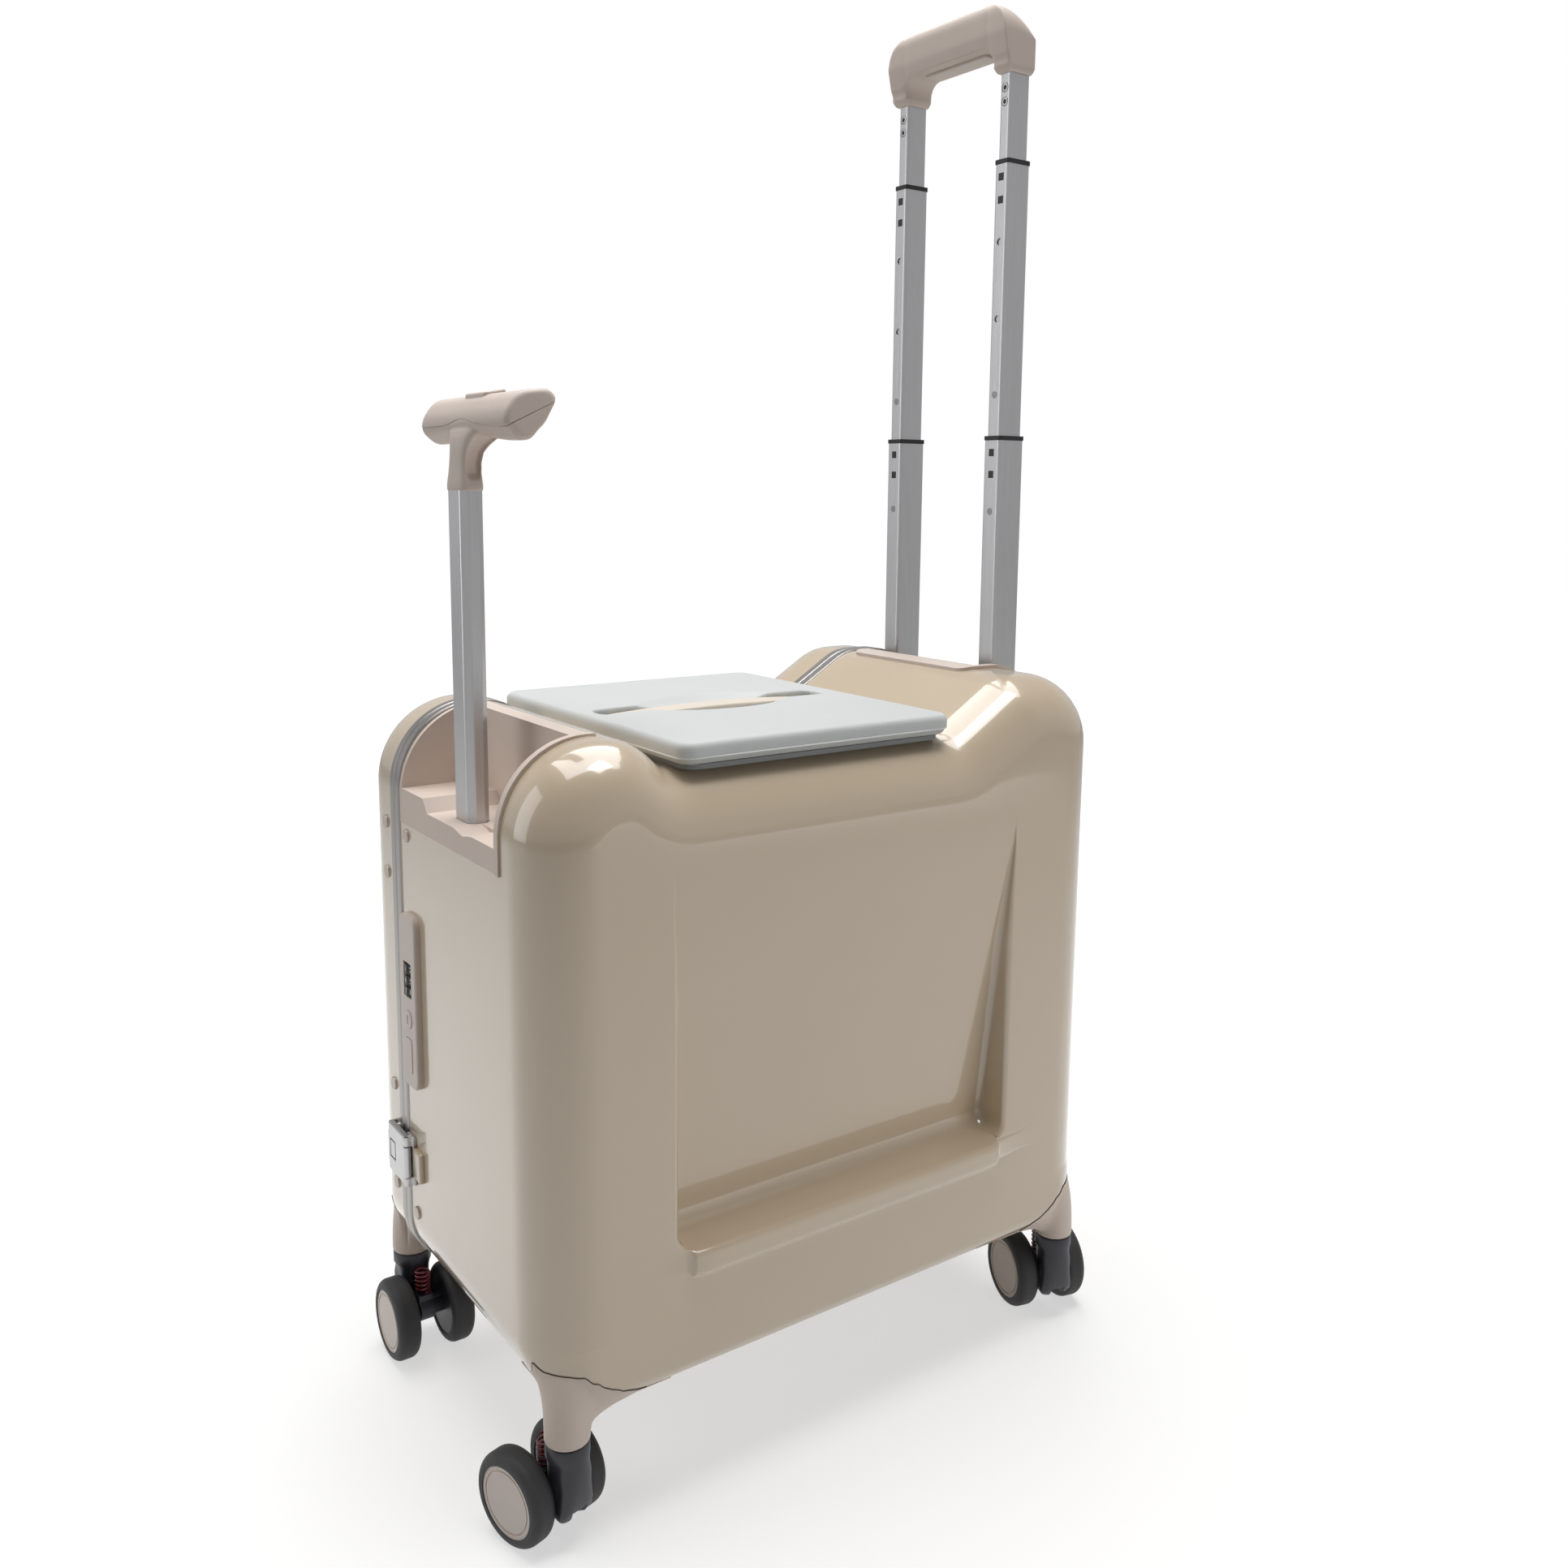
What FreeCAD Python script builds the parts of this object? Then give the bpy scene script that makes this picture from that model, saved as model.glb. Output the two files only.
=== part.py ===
import FreeCAD, Part
import math
import os

# Ride-on suitcase. +X is forward, towards the child's handle, +Y is the rider's left,
# +Z is up, and the origin is on the floor under the middle of the case. Millimetres.

# Case body, seen from the side
body_length = 424.0
body_width = 268.0
body_bottom_z = 77.0
deck_z = 433.0
front_hump_z = 453.0
rear_hump_z = 467.0
front_hump_x = 142.0
deck_front_x = 120.0
deck_rear_x = -84.0
rear_hump_x = -140.0
bottom_radius = 42.0
front_top_radius = 54.0
rear_top_radius = 48.0
hump_radius = 40.0
deck_front_radius = 16.0
deck_rear_radius = 24.0
side_radius = 38.0
under_radius = 15.0
shell_wall = 2.6

# Leg recess and footrest on each side
recess_front_x = 131.5
recess_rear_x = -129.0
recess_top_z = 383.0
recess_bottom_z = 165.0
recess_depth = 24.0
recess_wall_lean = 3.0
recess_ledge_drop = 6.0
recess_cove = 7.0
recess_edge_radius = 6.0
footrest_half_length = 121.5
footrest_z = 151.0
footrest_height = 16.0
footrest_proud = 6.0
footrest_root = 14.0
footrest_radius = 5.5

# Aluminium frame between the two shells
frame_joint_y = -71.5
frame_half_width = 7.5
frame_gap = 0.4
frame_proud = 1.0
frame_depth = 9.0
frame_chamfer = 0.8
flange_length = 18.0
flange_wall = 1.6
rivet_head_radius = 4.2
rivet_head_height = 1.3
rivet_shank_radius = 2.0
rivet_inset = 10.5
main_rivet_heights = [374.0, 124.0]
door_rivet_heights = [376.0, 343.0, 199.0, 130.0]
door_rear_rivet_heights = [376.0, 265.0, 130.0]

# Front well that holds the child's handle
well_rear_x = 164.5
well_near_y = 82.0
well_floor_z = 395.0
well_skirt_z = 381.0
well_wall = 4.0
well_rim = 11.0
well_rim_height = 5.0
well_bead = 1.2
well_bead_width = 5.0
well_step_height = 8.0
well_step_length = 42.0
well_step_slope = 7.0
notch_width = 26.0
notch_depth = 2.4

# Child's T handle
rod_x = 194.5
rod_y = 9.5
rod_depth = 14.0
rod_width = 24.0
rod_chamfer = 4.0
rod_wall = 1.5
rod_top_z = 586.0
rod_length = 290.0
rod_tenon = 12.0
t_grip_width = 122.0
t_grip_depth = 31.0
t_grip_height = 24.5
t_grip_centre_z = 630.5
t_grip_sweep = 13.5
t_grip_end_radius = 4.0
t_grip_split_gap = 0.2
neck_collar_height = 6.0
neck_collar_rim = 2.2
neck_waist_depth = 15.0
neck_waist_width = 22.0
neck_waist_z = 607.0
neck_top_depth = 25.0
neck_top_width = 46.0
t_button_length = 28.0
t_button_width = 14.0
t_button_height = 7.0
t_button_proud = 2.6
t_button_radius = 2.5
button_gap = 0.3
t_section_shares = [
    (-0.5, 0.31),
    (-0.33, 0.5),
    (0.22, 0.42),
    (0.46, 0.02),
    (0.5, -0.27),
    (0.12, -0.5),
    (-0.22, -0.3),
]
t_section_radius_share = 0.13

# Trolley handle: two stacks of telescoping tubes
trolley_x = -186.0
trolley_y = -1.0
trolley_spacing = 105.0
guide_wall = 1.2
slide_gap = 0.3
lower_depth = 23.2
lower_width = 15.2
mid_depth = 20.8
mid_width = 12.4
top_depth = 18.4
top_width = 9.6
tube_wall = 0.9
tube_corner = 2.0
tube_length = 290.0
lower_top_share = 0.401
mid_top_share = 0.862
grip_height = 45.0
grip_top_z = 911.0
collar_height = 3.0
collar_rim = 0.5
window_size = 5.0
window_drops = [11.5, 26.5]
lock_hole_radius = 2.4
lock_pin_proud = 0.2
lower_hole_drop = 52.0
mid_hole_drop = 54.0
mid_hole_pitch = 51.0
mid_hole_count = 3
top_rivet_radius = 2.6
top_rivet_drops = [9.0, 18.0]
grip_depth = 28.0
grip_bar_bulge = 8.0
grip_bulge_rise = 8.0
grip_crown_radius = 9.0
grip_socket_width = 16.0
grip_bar_height = 28.0
grip_outer_radius = 20.0
grip_inner_radius = 10.0
grip_edge_radius = 6.0
grip_tenon = 16.0
trigger_length = 62.0
trigger_width = 14.0
trigger_height = 6.0
trigger_proud = 1.5
trigger_travel = 3.0

# Rear well that holds the trolley grip
bezel_front_x = -156.0
bezel_rear_x = -206.0
bezel_floor_z = 419.0
bezel_wall = 4.0
bezel_flange = 6.0
bezel_front_flange = 16.0
bezel_proud = 2.0
bezel_flange_radius = 9.0
bezel_flange_gap = 6.0
bezel_side_gap = 0.6
bezel_side_wall = 2.5

# Seat with its carry handle
seat_front_x = 117.5
seat_rear_x = -83.0
seat_width = 242.0
seat_base_height = 3.0
seat_base_inset = 5.0
seat_frame_gap = 0.4
seat_door_gap = 0.3
seat_pad_height = 14.0
seat_corner_radius = 11.0
seat_edge_radius = 4.5
slot_front_x = 106.5
slot_rear_x = -63.5
slot_width = 20.4
scoop_length = 112.0
scoop_width = 64.0
scoop_depth = 8.5
handle_bar_width = 18.0
handle_bar_height = 5.0
handle_bar_rise = 6.0
handle_end_gap = 5.5
handle_post_depth = 8.0
handle_post_width = 12.0
handle_travel = 19.0
handle_foot_height = 4.0
handle_foot_reach = 3.0
handle_hole_gap = 0.5
handle_rest_gap = 1.0

# Guide tubes reach down to the floor of the case
rod_guide_bottom_z = 100.0
trolley_guide_bottom_z = 96.0

# Legs under the corners
leg_x = 193.0
leg_y = 120.0
leg_bottom_z = 63.0
leg_rises = [0.0, 12.0, 26.0, 40.0]
leg_radii = [13.0, 14.5, 20.0, 37.0]
leg_shifts_x = [0.0, 1.0, 6.0, 19.0]
leg_shifts_y = [0.0, 1.5, 8.0, 24.0]

# Castors, drawn with the trail along +X and the axle along Y
wheel_radius = 27.0
tyre_width = 15.6
tyre_bore_radius = 20.5
tyre_shoulder = 5.0
wheel_spacing = 38.0
trail = 22.0
hub_inset = 0.6
hub_groove_radius = 17.2
hub_groove_width = 0.9
hub_groove_depth = 0.6
hub_boss_radius = 5.0
axle_radius = 3.0
stem_radius = 5.0
stem_length = 19.0
running_gap = 0.06
castor_gap = 0.5
yoke_barrel_radius = 12.5
yoke_barrel_bottom_z = 53.5
yoke_half_width = 9.6
yoke_slot_half_width = 5.4
yoke_front_wall = 3.5
yoke_slot_top_z = 46.0
yoke_outline_shares = [
    (-1.0, 0.92),
    (-1.0, 0.46),
    (-0.64, 0.27),
    (0.24, 0.27),
    (0.72, 0.44),
    (1.0, 0.7),
    (1.0, 0.92),
]
yoke_outline_radius = 4.0
bracket_reach = 25.5
bracket_half_width = 6.5
bracket_bottom_z = 55.5
bracket_height = 5.0
pivot_x = -1.0
pivot_z = 28.0
pivot_pin_radius = 2.2
arm_half_width = 5.0
arm_pivot_radius = 6.0
arm_axle_radius = 7.0
arm_seat_x = 18.8
arm_seat_half_length = 5.5
arm_seat_z = 38.0
spring_wire = 1.6
spring_radius = 4.4
spring_turns = 5
spring_seat_gap = 0.2
castor_places = {
    "front_left": (1, 1, -75.0),
    "front_right": (1, -1, 90.0),
    "rear_left": (-1, 1, -105.0),
    "rear_right": (-1, -1, 98.0),
}

# Combination lock on the front face beside the frame
lock_top_z = 325.0
lock_bottom_z = 212.0
lock_width = 26.0
lock_height = 4.0
lock_frame_gap = 2.0
lock_corner_radius = 8.0
lock_edge_radius = 1.6
dial_radius = 8.0
dial_height = 6.4
dial_pitch = 7.2
dial_count = 3
dial_centre_z = 283.0
dial_proud = 1.0
dial_gap = 0.4
dial_skin = 1.4
dial_window_half_width = 6.2
dial_box_wall = 2.0
dial_notches = 10
dial_notch_radius = 0.5
spindle_radius = 1.6
key_z = 257.0
key_radius = 6.0
key_proud = 0.6
key_slot_width = 1.4
key_slot_length = 6.0
slide_button_z = 233.5
slide_button_length = 22.0
slide_button_width = 10.0
slide_button_height = 2.2
slide_button_proud = 0.4
slide_button_travel = 1.6

# Draw latch across the frame
latch_z = 159.5
latch_height = 33.0
latch_plate = 2.4
latch_base_width = 11.0
latch_frame_gap = 0.6
latch_axis_inset = 7.5
latch_knuckle_radius = 2.4
latch_knuckle_length = 6.0
latch_pin_radius = 1.1
latch_lever_thickness = 3.6
latch_lever_reach = 30.0
latch_lip = 2.0
latch_hook_width = 3.9
latch_hook_inset = 3.0
latch_gap = 0.4
latch_edge_radius = 1.2
tab_length = 10.0
tab_width = 13.0
tab_slot = 1.2
latch_boss_end_y = -35.0
latch_boss_height = 20.0
latch_boss_proud = 4.0
latch_boss_radius = 3.0

# Two hinges on the rear face
hinge_heights = [200.0, 330.0]
hinge_length = 46.0
hinge_leaf = 2.0
hinge_leaf_width = 20.0
hinge_knuckle_radius = 4.0
hinge_axis_gap = 6.0
hinge_pin_radius = 1.8
hinge_gap = 0.4

overrun = 5.0
edge_tolerance = 0.05
tiny = 1e-6

front_x = body_length / 2
rear_x = -front_x
side_y = body_width / 2
main_edge_y = frame_joint_y + frame_half_width
door_edge_y = frame_joint_y - frame_half_width

Vector = FreeCAD.Vector
UP = Vector(0, 0, 1)
FORWARD = Vector(1, 0, 0)
LEFT = Vector(0, 1, 0)


def box(x_range, y_range, z_range):
    low = Vector(x_range[0], y_range[0], z_range[0])
    return Part.makeBox(x_range[1] - x_range[0], y_range[1] - y_range[0], z_range[1] - z_range[0], low)


def centred(middle, size):
    return (middle - size / 2, middle + size / 2)


def cylinder(radius, start, direction, length):
    return Part.makeCylinder(radius, length, start, direction)


def fuse(shapes):
    first = shapes[0]
    if len(shapes) == 1:
        return first
    return first.multiFuse(shapes[1:]).removeSplitter()


def mirror_y(shape):
    return shape.mirror(Vector(0, 0, 0), LEFT)


def rounded_wire(points, radii, lift):
    """Closed wire through flat points, with each corner rounded by its own radius."""
    count = len(points)
    corners = []
    for index in range(count):
        here = Vector(points[index][0], points[index][1], 0)
        before = Vector(points[index - 1][0], points[index - 1][1], 0) - here
        after = Vector(points[(index + 1) % count][0], points[(index + 1) % count][1], 0) - here
        before.normalize()
        after.normalize()
        half_angle = before.getAngle(after) / 2
        reach = radii[index] / math.tan(half_angle)
        bisector = before + after
        bisector.normalize()
        crown = radii[index] / math.sin(half_angle) - radii[index]
        corners.append((here + before * reach, here + bisector * crown, here + after * reach))
    edges = []
    for index in range(count):
        start, middle, end = [lift(point.x, point.y) for point in corners[index]]
        if radii[index] > 0:
            edges.append(Part.Arc(start, middle, end).toShape())
        following = corners[(index + 1) % count][0]
        target = lift(following.x, following.y)
        if end.distanceToPoint(target) > tiny:
            edges.append(Part.LineSegment(end, target).toShape())
    return Part.Wire(edges)


def side_plate(points, radii, y_range):
    """Solid from an outline in X and Z, between two values of Y."""
    wire = rounded_wire(points, radii, lambda a, b: Vector(a, y_range[0], b))
    return Part.Face(wire).extrude(LEFT * (y_range[1] - y_range[0]))


def end_plate(points, radii, x_range):
    """Solid from an outline in Y and Z, between two values of X."""
    wire = rounded_wire(points, radii, lambda a, b: Vector(x_range[0], a, b))
    return Part.Face(wire).extrude(FORWARD * (x_range[1] - x_range[0]))


def flat_plate(points, radii, z_range):
    """Solid from an outline in X and Y, between two values of Z."""
    wire = rounded_wire(points, radii, lambda a, b: Vector(a, b, z_range[0]))
    return Part.Face(wire).extrude(UP * (z_range[1] - z_range[0]))


def rectangle(a_range, b_range):
    low_a, high_a = a_range
    low_b, high_b = b_range
    return [(low_a, low_b), (high_a, low_b), (high_a, high_b), (low_a, high_b)]


def round_bar(depth, width, corner, centre_x, centre_y, z_range):
    outline = rectangle(centred(centre_x, depth), centred(centre_y, width))
    return flat_plate(outline, [corner] * len(outline), z_range)


def edges_at(shape, axis, value):
    """Edges that lie in the plane where one coordinate has a given value."""
    found = []
    for edge in shape.Edges:
        bounds = edge.BoundBox
        low = {"x": bounds.XMin, "y": bounds.YMin, "z": bounds.ZMin}[axis]
        high = {"x": bounds.XMax, "y": bounds.YMax, "z": bounds.ZMax}[axis]
        if abs(low - value) < edge_tolerance and abs(high - value) < edge_tolerance:
            found.append(edge)
    return found


def inset_outline(points, radii, inset):
    """Move every side of an anticlockwise outline inwards, and keep its round corners concentric."""
    count = len(points)
    moved_points = []
    moved_radii = []
    for index in range(count):
        here = points[index]
        before = points[index - 1]
        after = points[(index + 1) % count]
        in_angle = math.atan2(here[1] - before[1], here[0] - before[0])
        out_angle = math.atan2(after[1] - here[1], after[0] - here[0])
        turn = math.atan2(math.sin(out_angle - in_angle), math.cos(out_angle - in_angle))
        normal_angle = in_angle + turn / 2 + math.pi / 2
        reach = inset / math.cos(turn / 2)
        moved_x = here[0] + reach * math.cos(normal_angle)
        moved_z = here[1] + reach * math.sin(normal_angle)
        moved_points.append((moved_x, moved_z))
        moved_radii.append(radii[index] - math.copysign(inset, turn))
    return moved_points, moved_radii


def body_outline(inset):
    points = [
        (rear_x, body_bottom_z),
        (front_x, body_bottom_z),
        (front_x, front_hump_z),
        (front_hump_x, front_hump_z),
        (deck_front_x, deck_z),
        (deck_rear_x, deck_z),
        (rear_hump_x, rear_hump_z),
        (rear_x, rear_hump_z),
    ]
    radii = [
        bottom_radius,
        bottom_radius,
        front_top_radius,
        hump_radius,
        deck_front_radius,
        deck_rear_radius,
        hump_radius,
        rear_top_radius,
    ]
    return inset_outline(points, radii, inset)


def body_slab(inset, y_range):
    points, radii = body_outline(inset)
    return side_plate(points, radii, y_range)


def body_half(inset, edge_y, outer_y):
    """Block of one half of the case, rounded along its outer side, less so underneath."""
    slab = body_slab(inset, (edge_y, outer_y))
    low_z = body_bottom_z + inset
    document = FreeCAD.newDocument()
    base = document.addObject("Part::Feature")
    base.Shape = slab
    rounding = document.addObject("Part::Fillet")
    rounding.Base = base
    corners = []
    for number, edge in enumerate(slab.Edges):
        if edge.BoundBox.YMin > outer_y - edge_tolerance:
            radii = []
            for place in (edge.FirstParameter, edge.LastParameter):
                under = edge.valueAt(place).z < low_z + edge_tolerance
                radii.append((under_radius if under else side_radius) - inset)
            corners.append((number + 1, radii[0], radii[1]))
    rounding.Edges = corners
    document.recompute()
    return rounding.Shape.Solids[0]


def recess_tool(grow):
    """Wedge that the leg recess leaves, on the left side, grown by a wall."""
    slope = (recess_top_z - recess_bottom_z) / recess_depth
    top_z = recess_top_z + grow * slope
    out_y = side_y + overrun
    floor_y = side_y - recess_depth - grow
    ledge_z = recess_bottom_z - grow
    foot_z = ledge_z - recess_ledge_drop
    outline = [
        (floor_y, ledge_z),
        (side_y, foot_z),
        (out_y, foot_z),
        (out_y, top_z + overrun * slope),
    ]
    lean = recess_wall_lean * (out_y - floor_y) / recess_depth
    spread = grow + recess_wall_lean * overrun / recess_depth
    low_x = recess_rear_x - spread
    high_x = recess_front_x + spread
    wedge = end_plate(outline, [recess_cove + grow, 0, 0, 0], (low_x, high_x))
    plan = [
        (low_x + lean, floor_y),
        (high_x - lean, floor_y),
        (high_x, out_y),
        (low_x, out_y),
    ]
    leaning = flat_plate(plan, [0] * len(plan), (foot_z, top_z + overrun * slope))
    tool = wedge.common(leaning)
    return tool


def soften_recess(tool):
    """Round the recess along the foot of its two leaning walls."""
    chosen = []
    for edge in tool.Edges:
        middle = edge.valueAt((edge.FirstParameter + edge.LastParameter) / 2)
        inside = middle.y < side_y - tiny
        reach = recess_wall_lean + recess_edge_radius
        at_wall = middle.x > recess_front_x - reach or middle.x < recess_rear_x + reach
        if inside and at_wall:
            chosen.append(edge)
    return tool.makeFillet(recess_edge_radius, chosen)


def footrest_bar():
    bar = box(
        (-footrest_half_length, footrest_half_length),
        (side_y - footrest_root, side_y + footrest_proud),
        centred(footrest_z, footrest_height),
    )
    return bar.makeFillet(footrest_radius, bar.Edges)


def rod_octagon(grow):
    """Outline of the child's handle rod, a rectangle with cut corners."""
    half_depth = rod_depth / 2 + grow
    half_width = rod_width / 2 + grow
    cut = rod_chamfer
    return [
        (rod_x - half_depth, rod_y - half_width + cut),
        (rod_x - half_depth + cut, rod_y - half_width),
        (rod_x + half_depth - cut, rod_y - half_width),
        (rod_x + half_depth, rod_y - half_width + cut),
        (rod_x + half_depth, rod_y + half_width - cut),
        (rod_x + half_depth - cut, rod_y + half_width),
        (rod_x - half_depth + cut, rod_y + half_width),
        (rod_x - half_depth, rod_y + half_width - cut),
    ]


def rod_bar(grow, z_range):
    outline = rod_octagon(grow)
    return flat_plate(outline, [0] * len(outline), z_range)


trolley_sides = [trolley_y + trolley_spacing / 2, trolley_y - trolley_spacing / 2]


def trolley_bar(depth, width, z_range):
    """One bar for each side of the trolley."""
    return [round_bar(depth, width, tube_corner, trolley_x, side, z_range) for side in trolley_sides]


def trolley_tube(depth, width, z_range):
    inner_depth = depth - 2 * tube_wall
    inner_width = width - 2 * tube_wall
    outer = trolley_bar(depth, width, z_range)
    inner = trolley_bar(inner_depth, inner_width, (z_range[0] - overrun, z_range[1] + overrun))
    return [solid.cut(hollow) for solid, hollow in zip(outer, inner)]


# Wells
well_top = (well_skirt_z, rear_hump_z + overrun)
well_far_y = main_edge_y
well_outer_y = well_near_y + well_wall
bezel_low_y = trolley_sides[1] - grip_socket_width / 2 - bezel_side_gap
bezel_high_y = trolley_sides[0] + grip_socket_width / 2 + bezel_side_gap


def well_blocks(outer_body):
    """Block of the front well before it is hollowed out."""
    y_range = (well_far_y, well_outer_y)
    far_x = front_x + overrun
    tub = box((well_rear_x - well_wall, far_x), y_range, (well_floor_z - well_wall, well_top[1]))
    rim = box((well_rear_x - well_rim, far_x), y_range, (front_hump_z - well_rim_height, well_top[1]))
    skirt = box((front_x - well_wall, far_x), y_range, well_top)
    return fuse([tub, rim, skirt]).common(outer_body)


def well_void():
    return box(
        (well_rear_x, front_x + overrun),
        (well_far_y + well_wall, well_near_y),
        (well_floor_z, well_top[1]),
    )


def well_floor_forms():
    """Raised step on the far side of the well's floor, with a sloped flank."""
    step_y = well_far_y + well_wall
    top_z = well_floor_z + well_step_height
    outline = [
        (step_y, well_floor_z),
        (step_y + well_step_length, well_floor_z),
        (step_y + well_step_length - well_step_slope, top_z),
        (step_y, top_z),
    ]
    return end_plate(outline, [0] * len(outline), (well_rear_x, front_x))


def well_notch():
    """Shallow V across the floor in front of the rod."""
    outline = [
        (rod_y + notch_width / 2, well_floor_z),
        (rod_y + notch_width, well_floor_z - notch_depth),
        (rod_y + notch_width + notch_width / 2, well_floor_z),
    ]
    return end_plate(outline, [0] * len(outline), (rod_x, front_x + overrun))


def make_front_well(outer_body):
    blocks = well_blocks(outer_body)
    proud = body_slab(-well_bead, (well_near_y, well_near_y + well_bead_width))
    keep = body_slab(well_wall, (well_near_y - overrun, well_near_y + well_bead_width + overrun))
    bead_zone = box(
        (well_rear_x - well_rim, front_x + overrun),
        (well_near_y, well_near_y + well_bead_width),
        well_top,
    )
    bead = proud.cut(keep).common(bead_zone)
    tub = blocks.cut(well_void())
    tub = fuse([tub, bead, well_floor_forms()]).cut(well_notch())
    return tub.cut(rod_bar(slide_gap, (well_skirt_z - overrun, rear_hump_z)))


def bezel_blocks(outer_body):
    x_range = (rear_x + shell_wall, bezel_front_x + bezel_wall)
    y_range = (main_edge_y, bezel_high_y + bezel_side_wall)
    tub = box(x_range, y_range, (bezel_floor_z - bezel_wall, rear_hump_z + overrun))
    return tub.common(outer_body)


def bezel_void():
    return box(
        (bezel_rear_x, bezel_front_x),
        (bezel_low_y, bezel_high_y),
        (bezel_floor_z, rear_hump_z + 2 * overrun),
    )


def make_trolley_bezel(outer_body):
    y_range = (main_edge_y + bezel_flange_gap, bezel_high_y + bezel_flange)
    proud = body_slab(-bezel_proud, y_range)
    proud = proud.cut(body_slab(0, (y_range[0] - overrun, y_range[1] + overrun)))
    flange_zone = flat_plate(
        rectangle((bezel_rear_x - bezel_proud, bezel_front_x + bezel_front_flange), y_range),
        [0, bezel_flange_radius, bezel_flange_radius, 0],
        (bezel_floor_z, rear_hump_z + overrun),
    )
    flange = proud.common(flange_zone)
    solid = fuse([bezel_blocks(outer_body), flange]).cut(bezel_void())
    holes = trolley_bar(
        lower_depth + 2 * slide_gap,
        lower_width + 2 * slide_gap,
        (bezel_floor_z - bezel_wall - overrun, bezel_floor_z + overrun),
    )
    return solid.cut(fuse(holes)).Solids


# Frame, rivets
def frame_ring(y_range, flange_range):
    outer = body_slab(-frame_proud, y_range)
    rims = edges_at(outer, "y", y_range[0]) + edges_at(outer, "y", y_range[1])
    outer = outer.makeChamfer(frame_chamfer, rims)
    ring = outer.cut(body_slab(frame_depth, (y_range[0] - overrun, y_range[1] + overrun)))
    flange = body_slab(shell_wall, flange_range)
    through = (flange_range[0] - overrun, flange_range[1] + overrun)
    flange = flange.cut(body_slab(shell_wall + flange_wall, through))
    return fuse([ring, flange])


def rivet(x, y, z, outward):
    direction = FORWARD * outward
    depth = shell_wall + flange_wall
    head = cylinder(rivet_head_radius, Vector(x, y, z), direction, rivet_head_height)
    head = head.makeFillet(rivet_head_height / 2, edges_at(head, "x", x + outward * rivet_head_height))
    shank = cylinder(rivet_shank_radius, Vector(x, y, z) - direction * depth, direction, depth)
    return fuse([head, shank])


def rivet_rows(y, front_heights, rear_heights):
    front = [rivet(front_x, y, z, 1) for z in front_heights]
    rear = [rivet(rear_x, y, z, -1) for z in rear_heights]
    return front + rear


# Seat and carry handle
seat_base_z = deck_z
seat_pad_z = deck_z + seat_base_height
seat_top_z = seat_pad_z + seat_pad_height
slot_middle_x = (slot_front_x + slot_rear_x) / 2
handle_low_z = seat_pad_z + handle_rest_gap
handle_ends = [slot_rear_x + handle_end_gap, slot_front_x - handle_end_gap]
handle_foot_top_z = deck_z - shell_wall - handle_travel - handle_hole_gap


def seat_outline(inset):
    return rectangle(
        (seat_rear_x + inset, seat_front_x - inset),
        centred(0, seat_width - 2 * inset),
    )


def scoop_tool():
    """Finger scoops beside the carry handle, a spindle sunk into the seat's top."""
    half_length = scoop_length / 2
    drop = scoop_depth
    rise = (scoop_width / 2) ** 2 / (2 * drop) - drop / 2
    peak = rise + drop
    axis_z = seat_top_z + rise
    tip = Vector(slot_middle_x - half_length, 0, seat_top_z)
    far_tip = Vector(slot_middle_x + half_length, 0, seat_top_z)
    low = Vector(slot_middle_x, 0, axis_z - peak)
    bow = Part.Arc(tip, low, far_tip).toShape()
    ends = [Vector(far_tip.x, 0, axis_z), Vector(tip.x, 0, axis_z)]
    sides = [
        Part.LineSegment(far_tip, ends[0]).toShape(),
        Part.LineSegment(ends[0], ends[1]).toShape(),
        Part.LineSegment(ends[1], tip).toShape(),
    ]
    face = Part.Face(Part.Wire([bow] + sides))
    return face.revolve(Vector(slot_middle_x, 0, axis_z), FORWARD, 360)


def make_seat_pad():
    outline = seat_outline(0)
    pad = flat_plate(outline, [seat_corner_radius] * len(outline), (seat_pad_z, seat_top_z))
    pad = pad.makeFillet(seat_edge_radius, edges_at(pad, "z", seat_top_z) + edges_at(pad, "z", seat_pad_z))
    slot = flat_plate(
        rectangle((slot_rear_x, slot_front_x), centred(0, slot_width)),
        [slot_width / 4] * 4,
        (seat_pad_z - overrun, seat_top_z + overrun),
    )
    return pad.cut(scoop_tool()).cut(slot)


def handle_post(middle_x, grow, z_range):
    return box(
        centred(middle_x, handle_post_depth + 2 * grow),
        centred(0, handle_post_width + 2 * grow),
        z_range,
    )


handle_posts_x = [handle_ends[0] + handle_post_depth / 2, handle_ends[1] - handle_post_depth / 2]


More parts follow.
